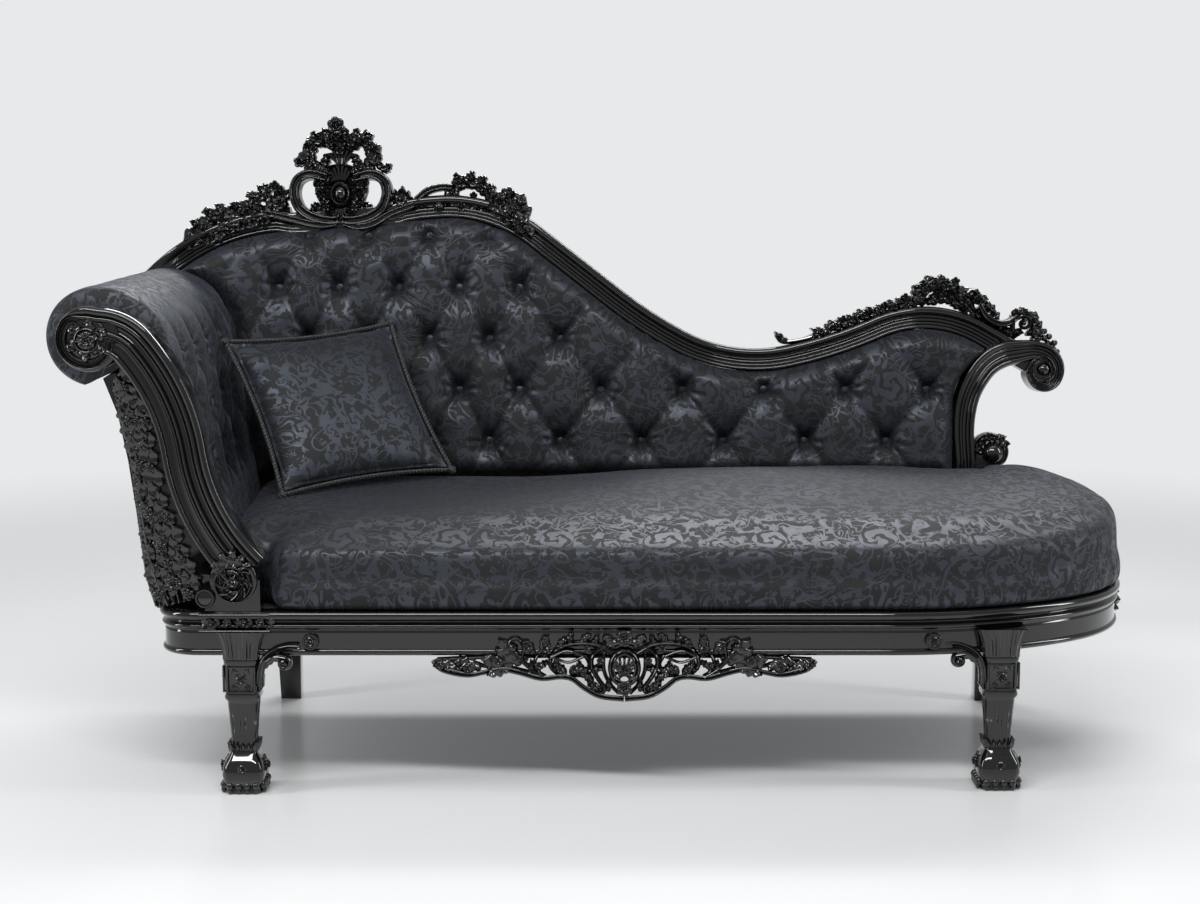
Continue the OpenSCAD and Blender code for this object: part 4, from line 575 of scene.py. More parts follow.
def make_arm_pad():
    ns, ny = 200, 140
    bm = bmesh.new()
    bmesh.ops.create_grid(bm, x_segments=ns, y_segments=ny, size=0.5)
    faces = list(bm.faces)
    copy = bmesh.ops.extrude_face_region(bm, geom=faces)
    outer_verts = set(g for g in copy["geom"] if isinstance(g, bmesh.types.BMVert))
    bm.verts.ensure_lookup_table()

    def laid(s, t, inner):
        _, z, _ = arm_line(s)
        back = arm_back(z)
        y = ARM_FRONT + t * (back - ARM_FRONT)
        off = -(34.7 if s < 1 else 33.4 if s < BEND else 32.3) if inner else arm_height(s, y, back)
        x, z, _ = arm_line(s, off)
        z = max(z, 327.3)
        return Vector((x, ARM_FRONT + t * (arm_back(z) - ARM_FRONT), z)) * MM

    for vert in bm.verts:
        s, t = ARM_FOOT + (vert.co.x + 0.5) * (ARM_END - ARM_FOOT), vert.co.y + 0.5
        t = t + 0.05 * math.sin(2 * math.pi * t)
        vert.co = laid(s, t, vert not in outer_verts)
    bmesh.ops.recalc_face_normals(bm, faces=bm.faces)
    pad = piece("arm_pad_tufted", bm, "damask", replaces=("arm_upholstery",), smooth=60)

    def flat_of(co):
        x, z = co.x / MM, co.z / MM
        a = math.atan2(z - BEND_Z, x - ARM_X)
        if a < SLOPE and x > ARM_X:
            s, off = -(arm_line(0)[1] - z) / math.cos(SLOPE), from_arm_side(x, z)
        elif x > ARM_X:
            s, off = (a - SLOPE) * BEND_R, math.hypot(x - ARM_X, z - BEND_Z) - BEND_R
        else:
            s = BEND + math.atan2(-(x - ARM_X), z - ROLL_Z) * ROLL_R
            off = math.hypot(x - ARM_X, z - ROLL_Z) - ROLL_R
        return co.y + min(0.0, off) * MM, s * MM

    cloth_map(pad, flat_of)
    return pad


def swell(obj, pinned, cap, pressure=4.0, frames=20, shrink=0.0):
    """Blows a closed cloth up a little with Blender's Cloth, and keeps the result."""
    rest = [v.co.copy() for v in obj.data.vertices]
    group = obj.vertex_groups.new(name="held")
    for v in obj.data.vertices:
        weight = pinned(v.co)
        if weight > 0:
            group.add([v.index], min(1.0, weight), "REPLACE")
    cloth = obj.modifiers.new("swell", "CLOTH")
    cloth.settings.use_pressure = True
    cloth.settings.uniform_pressure_force = pressure
    cloth.settings.effector_weights.gravity = 0
    cloth.settings.vertex_group_mass = "held"
    cloth.settings.shrink_min = shrink
    cloth.settings.mass = 0.3
    cloth.settings.tension_stiffness = cloth.settings.compression_stiffness = 15
    cloth.settings.bending_stiffness = 0.5
    cloth.settings.quality = 5
    cloth.collision_settings.use_collision = False
    cloth.point_cache.frame_start, cloth.point_cache.frame_end = 1, frames
    scene = bpy.context.scene
    for k in range(1, frames + 1):
        scene.frame_set(k)
    shown = obj.evaluated_get(bpy.context.evaluated_depsgraph_get())
    moved = [v.co.copy() for v in shown.data.vertices]
    obj.modifiers.remove(cloth)
    for v, start, end in zip(obj.data.vertices, rest, moved):
        step = end - start
        if step.length > cap:
            step *= cap / step.length
        v.co = start + step
    obj.vertex_groups.clear()
    scene.frame_set(1)


def remeshed(bm, name, voxel):
    """An even mesh of a closed shape, ready to be blown up."""
    mesh = bpy.data.meshes.new(name)
    bm.to_mesh(mesh)
    bm.free()
    obj = bpy.data.objects.new(name, mesh)
    bpy.context.scene.collection.objects.link(obj)
    remesh = obj.modifiers.new("even", "REMESH")
    remesh.mode, remesh.voxel_size = "VOXEL", voxel
    shown = obj.evaluated_get(bpy.context.evaluated_depsgraph_get())
    even = bpy.data.meshes.new_from_object(shown)
    obj.modifiers.clear()
    obj.data = even
    return obj


def subdivided(obj, smooth=0):
    """Smooths a simulated piece and divides it once."""
    bm = bmesh.new()
    bm.from_mesh(obj.data)
    if smooth:
        for _ in range(smooth):
            bmesh.ops.smooth_vert(bm, verts=bm.verts, factor=0.5, use_axis_x=True, use_axis_y=True,
                                  use_axis_z=True)
    bm.to_mesh(obj.data)
    bm.free()
    round_off = obj.modifiers.new("round", "SUBSURF")
    round_off.levels = round_off.render_levels = 1
    shown = obj.evaluated_get(bpy.context.evaluated_depsgraph_get())
    fine = bpy.data.meshes.new_from_object(shown)
    obj.modifiers.clear()
    obj.data = fine
    obj.data.polygons.foreach_set("use_smooth", [True] * len(obj.data.polygons))


def seat_edge(y):
    """Height of the seat's upper edge, which rises towards the back."""
    return 446 + 38 * (y + 372) / 702


def make_seat():
    bm = solid_of("seat_cushion")
    bm.normal_update()
    shift = {v: v.normal.copy() for v in bm.verts}
    for v, n in shift.items():
        if v.co.z > 0.345:
            v.co -= n * 0.004
    seat = remeshed(bm, "seat_cushion_padded", 0.0112)
    swell(seat, lambda co: 1.0 if co.z < 0.352 else max(0.0, 1 - (co.z - 0.352) / 0.03), 0.009)
    for v in seat.data.vertices:
        co = v.co
        side = max(0.0, min(1.0, (seat_edge(co.y / MM) - 10 - co.z / MM) / 80))
        if side > 0 and co.z > 0.33:
            out = Vector((co.x, co.y)) - Vector((0.55, -0.02)) if co.x > 0.55 else Vector((0, -1))
            out.normalize()
            way = math.atan2(out.y, out.x) * 420 + (co.x / MM if co.x <= 0.55 else 0)
            ends = max(0.0, min(1.0, (co.x - 0.62) / 0.25))
            gather = (math.sin(way / 8.5) + 0.5 * math.sin(way / 4.7 + 1)) * side
            co.x += out.x * gather * 0.002 * ends
            co.y += out.y * gather * 0.002 * ends
            tuck = max(0.0, min(1.0, (-0.555 - co.x) / 0.05)) if co.y < -0.25 else 0.0
            co.y += tuck * side * 0.0045 * math.sin(co.x * 330 + 14 * co.z)
        if co.z > 0.36:
            co.z += 0.0016 * noise.noise(Vector((co.x, co.y, 0)) * 9) * (1 - side)
            co.z += SEAT_RISE * eased_in(co.x, -0.2, 0.2) * eased_in(co.y, -0.28, 0.2) * eased_in(co.z, 0.36,
                0.44)
    subdivided(seat, smooth=1)
    for v in seat.data.vertices:
        v.co.z = max(v.co.z, 0.3272)
    dress(seat, "damask", "chaise", ("seat_cushion",))

    def flat_of(co):
        drop = max(0.0, (seat_edge(co.y / MM) - 6) * MM - co.z)
        if co.x > 0.5:
            out = (Vector((co.x, co.y)) - Vector((0.5, -0.021))).normalized()
        else:
            out = Vector((0, -1)) if co.y < 0 else Vector((0, 1))
        return co.x + out.x * drop, co.y + out.y * drop

    cloth_map(seat, flat_of)
    return seat


pillow_place = (Matrix.Translation((-0.526, 0.0832, 0.6376)) @ Matrix.Rotation(math.radians(28.1), 4, "Z")
                @ Matrix.Rotation(math.radians(-40.2), 4, "X") @ Matrix.Rotation(math.radians(-4.5), 4, "Y"))


def drawn_in(a):
    return 1 - 0.07 * (1 - a * a)


def pillow_point(u, w, face):
    puffed = math.sqrt(max(0, (1 - u ** 4) * (1 - w ** 4))) * (1 - 0.12 * (u * u + w * w))
    return Vector((172.5 * u * drawn_in(w), face * 60 * puffed, 172.5 * w * drawn_in(u))) * MM


def make_pillow():
    bm = bmesh.new()
    cells = 72
    for face in (-1, 1):
        grid = bmesh.ops.create_grid(bm, x_segments=cells, y_segments=cells, size=1.0)
        for vert in grid["verts"]:
            u = math.sin(math.pi / 2 * vert.co.x) * 0.6 + vert.co.x * 0.4
            w = math.sin(math.pi / 2 * vert.co.y) * 0.6 + vert.co.y * 0.4
            vert.co = pillow_point(u, w, face)
            vert.co.y -= face * 0.0035 * (1 - u ** 4) * (1 - w ** 4)
    bmesh.ops.remove_doubles(bm, verts=bm.verts, dist=1e-5)
    bmesh.ops.recalc_face_normals(bm, faces=bm.faces)
    mesh = bpy.data.meshes.new("pillow_padded")
    bm.to_mesh(mesh)
    bm.free()
    pillow = bpy.data.objects.new("pillow_padded", mesh)
    bpy.context.scene.collection.objects.link(pillow)

    def held(co):
        u, w = co.x / 0.1725, co.z / 0.1725
        return 1.0 if abs(co.y) < 1e-4 and max(abs(u), abs(w)) > 0.9 else 0.0

    swell(pillow, held, 0.009, pressure=5.0, shrink=-0.05)
    for v in mesh.vertices:
        u, w = v.co.x / 0.1725, v.co.z / 0.1725
        tuck = max(abs(u), abs(w)) ** 6
        way = (u if abs(w) > abs(u) else w) * 172
        v.co.y *= 1 + 0.10 * tuck * math.sin(way / 5.5)
        v.co += Vector((0, 1, 0)) * (0.0012 * noise.noise(v.co * 16)) * (1 - tuck)
    cloth_map(pillow, lambda co: (co.x, co.z))
    mesh.transform(pillow_place)
    subdivided(pillow)
    dress(pillow, "pillow_damask", "pillow", ("pillow",))
    return pillow


# Shapes that the carver's pieces are made of
def loft(bm, rings, closed=False):
    """Skins a row of rings: the first is a circle's ring, and each next is extruded from the last."""
    verts = bmesh.ops.create_circle(bm, segments=len(rings[0]), radius=1.0)["verts"]
    for vert, at in zip(verts, rings[0]):
        vert.co = at
    start = edges = list({e for v in verts for e in v.link_edges})
    for ring in rings[1:] + (rings[:1] if closed else []):
        grown = bmesh.ops.extrude_edge_only(bm, edges=edges)["geom"]
        fresh = {g for g in grown if isinstance(g, bmesh.types.BMVert)}
        verts = [next(e.other_vert(v) for e in v.link_edges if e.other_vert(v) in fresh) for v in verts]
        edges = [g for g in grown if isinstance(g, bmesh.types.BMEdge) and fresh.issuperset(g.verts)]
        for vert, at in zip(verts, ring):
            vert.co = at
    if closed:
        bmesh.ops.remove_doubles(bm, verts=list({v for e in edges + start for v in e.verts}), dist=1e-6)
    else:
        bmesh.ops.contextual_create(bm, geom=start)
        bmesh.ops.contextual_create(bm, geom=edges)


def run_along(bm, path, radii, sides=8, up=(0, 0, 1), flat=1.0, closed=False):
    """A round or oval section along points."""
    up, n, rings = Vector(up), len(path), []
    for i, at in enumerate(path):
        before = path[i - 1] if closed or i else path[0]
        after = path[(i + 1) % n] if closed or i < n - 1 else path[-1]
        way = (after - before).normalized()
        side = way.cross(up).normalized()
        top = side.cross(way).normalized()
        r = radii[i] if isinstance(radii, (list, tuple)) else radii
        rings.append([at + side * (r * math.cos(2 * math.pi * k / sides))
                      + top * (r * flat * math.sin(2 * math.pi * k / sides)) for k in range(sides)])
    loft(bm, rings, closed)


def flowing(points, step=4):
    """Points on a smooth line through the given ones."""
    ends = [points[0] * 2 - points[1]] + list(points) + [points[-1] * 2 - points[-2]]
    line = []
    for a, b, c, d in zip(ends, ends[1:], ends[2:], ends[3:]):
        for k in range(step):
            t = k / step
            line.append(0.5 * (2 * b + (c - a) * t + (2 * a - 5 * b + 4 * c - d) * t * t
                               + (3 * b - a - 3 * c + d) * t ** 3))
    return line + [points[-1]]


def blob(bm, at, size, turn=0.0, tilt=0.0, detail=2):
    """A rounded boss: a ball drawn out along three axes, tipped up and turned in the plane."""
    verts = bmesh.ops.create_icosphere(bm, subdivisions=detail, radius=1.0)["verts"]
    m = (Matrix.Translation(at) @ Matrix.Rotation(turn, 4, "Z") @ Matrix.Rotation(tilt, 4, "Y")
         @ Matrix.Diagonal((*size, 1)))
    bmesh.ops.transform(bm, matrix=m, verts=verts)


def rose(bm, x, v, r, d, petals=5, turn=0.3):
    """A carved rose: three rounds of petals about a bud, on a domed back."""
    blob(bm, (x, v, d - 0.1 * r), (0.8 * r, 0.8 * r, 0.45 * r))
    for n, reach, tilt, size in ((petals, 0.62, 0.35, (0.4, 0.46, 0.14)),
                                 (petals - 1, 0.36, 0.8, (0.32, 0.34, 0.12)),
                                 (3, 0.16, 1.15, (0.24, 0.2, 0.09))):
        for k in range(n):
            a = turn + 2 * math.pi * k / n + reach * 4
            blob(bm, (x + reach * r * math.cos(a), v + reach * r * math.sin(a),
                d + r * (0.48 - 0.35 * reach)),
                 tuple(r * s for s in size), a, -tilt, 2 if r > 12 else 1)


def leaf(bm, x, v, length, turn, bend=0.0, width=0.3, lobes=3, high=-10.0, low=-34.0, lift=5.0, curl=6.0):
    """An acanthus leaf: lobed edges, a sunk rib, raised veins and a tip that curls forward."""
    rows, across = lobes * 5, 6
    grid = bmesh.ops.create_grid(bm, x_segments=rows, y_segments=across, size=1.0)["verts"]
    turn, bend = math.radians(turn), math.radians(bend)
    for vert in grid:
        t, b = (vert.co.x + 1) / 2, vert.co.y
        a = turn + bend * t
        if abs(bend) > 0.01:
            along_x = length / bend * (math.sin(a) - math.sin(turn))
            along_v = -length / bend * (math.cos(a) - math.cos(turn))
        else:
            along_x, along_v = length * t * math.cos(turn), length * t * math.sin(turn)
        lobe = abs(math.sin(math.pi * (lobes * t + 0.25 * abs(b))))
        half = width * length * math.sin(math.pi * (0.1 + 0.88 * t)) ** 0.75 * (0.55 + 0.45 * lobe)
        rib = math.exp(-(b / 0.22) ** 2)
        rise = lift * (1 - b * b) * (0.5 + 0.5 * lobe) - 0.35 * lift * rib + curl * t ** 2.5
        vert.co = (x + along_x - half * b * math.sin(a), v + along_v + half * b * math.cos(a), high + rise)
    close_below(bm, grid, low)


def close_below(bm, grid, low):
    """Gives an open face walls down to a depth, and a back."""
    rim = {e for v in grid for e in v.link_edges if e.is_boundary}
    grown = bmesh.ops.extrude_edge_only(bm, edges=list(rim))["geom"]
    for vert in (g for g in grown if isinstance(g, bmesh.types.BMVert)):
        vert.co.z = low
    bmesh.ops.contextual_create(bm, geom=[g for g in grown if isinstance(g, bmesh.types.BMEdge)
                                          and g.is_boundary])


def stem(bm, points, r0, r1, curl=0.0, hand=1, d=-20.0, flat=1.9, sides=8, turns=1.2):
    """A tapered stem through points in the plane; it may end in a curl with a round eye."""
    line = [p.to_3d() for p in flowing([Vector(p) for p in points])]
    if curl:
        way = (line[-1] - line[-2]).normalized()
        side = Vector((-way.y, way.x, 0)) * hand
        middle = line[-1] + side * curl
        first = math.atan2(-side.y, -side.x)
        n = int(18 * turns)
        for k in range(1, n + 1):
            a = first + hand * 2 * math.pi * turns * k / n
            r = curl * (1 - 0.72 * k / n)
            line.append(middle + Vector((r * math.cos(a), r * math.sin(a), 0)))
        blob(bm, (middle.x, middle.y, d + 2), (curl * 0.34, curl * 0.34, r1 * 1.9))
    n = len(line) - 1
    for point in line:
        point.z = d
    radii = [r0 + (r1 - r0) * (k / n) for k in range(n + 1)]
    run_along(bm, line, radii, sides, flat=flat)


def leafy(bm, points, width, d=-18.0, lean=26, step=0.42, roses=0):
    """A stem wrapped in overlapping leaves, as a carver cuts a garland."""
    line = flowing([Vector(p) for p in points], 10)
    stem(bm, points, width * 0.36, width * 0.26, d=d - 3, flat=1.3)
    gone, side, count = 0.0, 1, 0
    for a, b in zip(line, line[1:]):
        gone += (b - a).length
        if gone > step * width * 1.4:
            gone, side, count = 0.0, -side, count + 1
            way = math.atan2((b - a).y, (b - a).x)
            out = Vector((-math.sin(way), math.cos(way))) * side * width * 0.16
            leaf(bm, b.x + out.x, b.y + out.y, width * (1.55 + 0.2 * math.sin(2.1 * count)),
                 math.degrees(way) + side * lean, -side * lean * 1.6, 0.42, 2, high=d + 3, low=d - 12,
                 lift=width * 0.26, curl=width * 0.3)
            if roses and count % roses == 0:
                rose(bm, b.x - out.x, b.y - out.y, width * 0.42, d + 9)


def fan(bm, x, v, length, turn, spread, ribs, d=-16.0, r=3.0):
    """A shell: ribs that open from one place, each with a round tip."""
    for k in range(ribs):
        a = math.radians(turn + spread * (k / (ribs - 1) - 0.5))
        reach = length * (0.86 + 0.14 * math.sin(math.pi * k / (ribs - 1)))
        tip = Vector((x + reach * math.cos(a), v + reach * math.sin(a)))
        stem(bm, [(x, v), ((x + tip.x) / 2, (v + tip.y) / 2), tip], r * 0.45, r, d=d, flat=1.6, sides=6)
        blob(bm, (tip.x, tip.y, d), (r, r, r * 1.5), detail=1)


def slab(bm, outline, low, high):
    """A flat board cut to an outline."""
    verts = [bm.verts.new((x, v, low)) for x, v in outline]
    face = bmesh.ops.contextual_create(bm, geom=verts)["faces"]
    top = bmesh.ops.extrude_face_region(bm, geom=face)["geom"]
    for vert in (g for g in top if isinstance(g, bmesh.types.BMVert)):
        vert.co.z = high


def carved(name, node, bm, place, smooth=45):
    """Ends a lacquered carving that was drawn in the plane of its piece."""
    bmesh.ops.transform(bm, matrix=place, verts=bm.verts)
    bmesh.ops.recalc_face_normals(bm, faces=bm.faces)
    return piece(name, bm, "lacquered_wood", replaces=(node,) if node else (), smooth=smooth)


# Mouldings
def moulding(width, depth, beads, relief=1.0, steps=54, ease=2.5, coves=()):
    """A rail's section, as points across and out: a plain back, and beads and coves on the face."""
    half, points = width / 2, []
    for k in range(steps + 1):
        a = half - width * k / steps
        rise = max([0.0] + [c + math.sqrt(r * r - (a - m) ** 2) for m, c, r in beads if abs(a - m) < r])
        for m, deep, r in coves:
            if abs(a - m) < r and not rise:
                rise = -deep * math.sqrt(1 - ((a - m) / r) ** 2)
        edge = max(0.0, ease - half + abs(a))
        points.append((a, rise * relief - ease + math.sqrt(ease * ease - edge * edge)))
    return points + [(-half, -depth), (half, -depth)]


def stations(start, pieces, turn_step=2.5, run_step=30.0):
    """Places on a path: x, y, heading and the way gone."""
    line, gone, p = [(*start, 0.0)], 0.0, start
    for q in pieces:
        length = q[1] if q[0] == 0 else abs(q[1]) * q[0]
        n = max(1, math.ceil(length / run_step if q[0] == 0 else abs(q[1]) / math.radians(turn_step)))
        for k in range(1, n + 1):
            line.append((*piece_end(p, (q[0], q[1] * k / n)), gone + length * k / n))
        gone += length
        p = piece_end(p, q)
    return line


def ring_at(x, y, heading, section, shift=0.0):
    """A section set across a path: its +X lies left of the way."""
    return [Vector((x - (a + shift) * math.sin(heading), y + (a + shift) * math.cos(heading), d))
            for a, d in section]


def spiral(middle, r0, r1, first, sweep, n, widths, full, beads, depth, lift=0.0, coves=()):
    """A band that winds into a volute. Its outer edge goes from radius r0 to r1."""
    rings = []
    for k in range(n + 1):
        t = k / n
        a = math.radians(first + sweep * t)
        r = r0 + (r1 - r0) * t
        w = widths(t)
        section = moulding(full, depth, beads, relief=min(1.0, 0.45 + 0.55 * w / full), coves=coves)
        rings.append([Vector((middle[0] + (r - w / 2 + x * w / full) * math.cos(a),
                              middle[1] + (r - w / 2 + x * w / full) * math.sin(a),
                              d + (lift * t if d > -depth * 0.9 else 0))) for x, d in section])
    return rings


def disc(bm, middle, r, low, high, dome=0.0):
    """A turned boss with an eased rim."""
    profile = [(0.0, low), (r, low), (r, high - 3), (r - 1, high - 1), (r - 3, high),
        (r * 0.5, high + dome * 0.7),
               (0.0, high + dome)]
    verts = [bm.verts.new((middle[0] + x, middle[1], z)) for x, z in profile]
    edges = [bm.edges.new(pair) for pair in zip(verts, verts[1:])]
    bmesh.ops.spin(bm, geom=verts + edges, cent=(*middle, 0), axis=(0, 0, 1), angle=2 * math.pi, steps=48,
                   use_merge=True)
    bmesh.ops.remove_doubles(bm, verts=[v for v in bm.verts if (v.co.xy - Vector(middle)).length < 1e-4],
                             dist=1e-4)


RAIL_BEADS = ((14.2, 0.8, 8.6), (-4.6, 0.5, 3.6), (-11.6, 0.4, 3.2), (-18.6, 0.9, 4.0))
RAIL_COVES = ((2.4, 4.0, 4.4),)
SCROLL_BEADS = ((16.0, 0.8, 5.8), (6.6, 0.6, 2.8), (-7.4, 0.6, 2.8), (-16.5, 0.6, 5.0))
SCROLL_COVES = ((-0.4, 3.6, 4.6),)
POST_BEADS = ((32.2, 1.0, 7.4), (19.6, 0.8, 4.4), (-2.4, 0.3, 2.6), (-8.6, 0.3, 2.6), (-34.0, 0.8, 5.6))
POST_COVES = ((7.6, 6.5, 7.6), (-20.0, 2.2, 9.0))
SEAT_BEADS = ((31.6, 1.0, 8.0), (12.4, 0.6, 4.2), (-33.6, -1.6, 6.0))
SEAT_COVES = ((20.0, 4.5, 3.6), (5.0, 1.5, 3.0))


def eased_in(t, low, high):
    """From 0 to 1 between low and high, with soft ends."""
    t = max(0.0, min(1.0, (t - low) / (high - low)))
    return t * t * (3 - 2 * t)


def make_top_rail():
    """It dips behind the crest, whose mouldings take over its beads there."""
    line = stations(back_ends[0], BACK_PIECES)
    end = line[-1][3]
    bm = bmesh.new()
    rings = []
    for x, y, h, s in line:
        crest = eased_in(x, -684, -630) * (1 - eased_in(x, -450, -396))
        relief = eased_in(s, 70, 105) * eased_in(end - s, 20, 75) * (1 - 0.85 * crest)
        rings.append(ring_at(x, y, h, moulding(46, 45, RAIL_BEADS, relief=relief, coves=RAIL_COVES),
            -11 * crest))
    loft(bm, rings)
    carved("top_rail_moulded", "back_top_rail", bm, on_back)


C_LINE = ((726, 0, 44), (726, 110, 44), (728, 160, 43), (726, 196, 43), (724, 232, 44), (726, 271, 46),
          (734, 309, 48), (750, 343, 50), (772, 372, 52), (801, 390, 53), (836, 397, 48), (870, 400, 39),
          (898, 390, 36), (914, 366, 30), (909, 339, 27), (891, 325, 21), (870, 331, 19), (858, 351, 17),
          (863, 372, 14), (879, 383, 12), (896, 377, 11), (904, 361, 10), (899, 346, 10), (887, 339, 9))


def make_c_scroll():
    """One band from the seat up and over into the volute; its beads wind on round the eye."""
    line = flowing([Vector((*p, 0)) for p in C_LINE], 7)
    bm, rings, n = bmesh.new(), [], len(line)
    for i, at in enumerate(line):
        way = line[min(n - 1, i + 1)] - line[max(0, i - 1)]
        h = math.atan2(way.y, way.x)
        wound = eased_in(i / n, 0.5, 1.0)
        size = at.z / 46
        section = moulding(46, 45, SCROLL_BEADS, relief=min(1.0, 0.35 + 0.65 * size), coves=SCROLL_COVES)
        rings.append([Vector((at.x - a * size * math.sin(h), at.y + a * size * math.cos(h),
                              d + (8 + 7 * wound if d > -40 else 0))) for a, d in section])
    loft(bm, rings)
    disc(bm, (886, 361), 30.0, -44.5, 4.0)
    blob(bm, (886, 361, 9), (13, 13, 10), detail=3)
    carved("c_scroll_moulded", "c_scroll", bm, on_back)


POST_PIECES = turns((82, -50), (368, -32), (365, 35), (0, 16))
post_ends = [(-887.0, 821.0, 0.0)]
for part in POST_PIECES:
    post_ends.append(piece_end(post_ends[-1], part))
VOLUTE = (-904.0, 805.1)
SWIRL = (-661.0, 381.0)


def make_front_post():
    """One band from the volute's rim down the S curve and into the swirl at the foot."""
    bm = bmesh.new()

    def wound(middle, r0, r1, first, sweep, n, widths, lift):
        return spiral(middle, r0, r1, first, sweep, n, widths, 80, POST_BEADS, 50, lift, POST_COVES)

    rim = wound(VOLUTE, 59.0, 47.0, 90, 262, 54, lambda t: 20 + 60 * (1 - eased_in(t, 0, 0.2)) - 6 * t, 4.0)
    body = [ring_at(x, y, h, moulding(80, 50, POST_BEADS, coves=POST_COVES))
            for x, y, h, _ in stations(post_ends[0], POST_PIECES)]
    swirl = wound(SWIRL, 46.0, 12.0, 43, -560, 76, lambda t: max(11.0, 80 - 68 * min(1, t * 4.5)), 12.0)
    loft(bm, rim[::-1] + body[1:] + swirl[1:])
    disc(bm, VOLUTE, 56.0, -49.5, -3.0)
    disc(bm, SWIRL, 43.0, -49.5, -5.0)
    for k in range(9):
        a = 2 * math.pi * k / 9
        arc = [(SWIRL[0] + r * math.cos(a - (r - 8) / 26), SWIRL[1] + r * math.sin(a - (r - 8) / 26))
               for r in (8, 14, 20, 26, 33)]
        stem(bm, arc, 2.2, 3.6, d=3, flat=1.7)
    slab(bm, [(-713, 327.2), (-615, 327.2), (-615, 381), (-640, 410), (-690, 400)], -49.0, -2.0)
    carved("front_post_moulded", "arm_front_post", bm, on_front(-376))


def make_seat_rails():
    """Seat rails: reeds under the top edge, a plain fascia and a bead below."""
    front, back, left, right, tip_r, corner = 372.0, 330.0, 796.0, 962.0, 290.0, 190.0
    half = (front + back) / 2
    run, rear = right - 500, right - 700
    front_r = ((run - tip_r) ** 2 + half ** 2 - tip_r ** 2) / (2 * (half - tip_r))
    front_a = math.degrees(math.atan2(front_r - half, run - tip_r))
    rear_r = (rear ** 2 + (half - corner) ** 2 - corner ** 2) / (2 * (rear - corner))
    rear_a = math.degrees(math.atan2(half - corner, 700 - right + rear_r))
    start = (-left + 45, back, 0.0)
    plan = turns((0, 700 + left - 45), (corner, rear_a - 90), (rear_r, -rear_a), (tip_r, -front_a),
                 (front_r, front_a - 90), (0, 500 + left - 70), (70, -90), (0, back + front - 70))
    ends = [start]
    for q in plan:
        ends.append(piece_end(ends[-1], q))
    section = [(d, z + 287) for z, d in moulding(80, 45, SEAT_BEADS, steps=72, ease=1.5, coves=SEAT_COVES)]
    section[-1:] = [(-45, 324), (-22.5, 324), (-22.5, 327)]
    for name, node, first, last in (("back_seat_rail", "back_rail", 0, 0),
        ("end_seat_rail", "end_rail", 1, 4),
                                    ("front_seat_rail", "front_rail", 5, 5),
                                    ("left_seat_rail", "left_end_rail", 6, 7)):
        bm = bmesh.new()
        loft(bm, [ring_at(x, y, h, section) for x, y, h, _ in stations(ends[first], plan[first:last + 1])])
        carved(name, node, bm, Matrix.Scale(MM, 4))


# Legs
def oblong(wx, wy, z, cy, flutes=0.0, n=64, power=5.0):
    """A ring with flat sides and eased corners; the flutes are cut into its sides."""
    ring = []
    for k in range(n):
        a = 2 * math.pi * (k + 0.5) / n
        c, s = math.cos(a), math.sin(a)
        r = (abs(c) ** power + abs(s) ** power) ** (-1 / power)
        x, y = r * c, r * s
        run = x if abs(s) > abs(c) else y
        dip = flutes * (0.5 - 0.5 * math.cos(run * 2 * math.pi * 3.5)) if abs(run) < 0.86 else 0.0
        inward = Vector((0, math.copysign(1, s))) if abs(s) > abs(c) else Vector((math.copysign(1, c), 0))
        ring.append(Vector((x * wx - inward.x * dip, cy + y * wy - inward.y * dip, z)))
    return ring


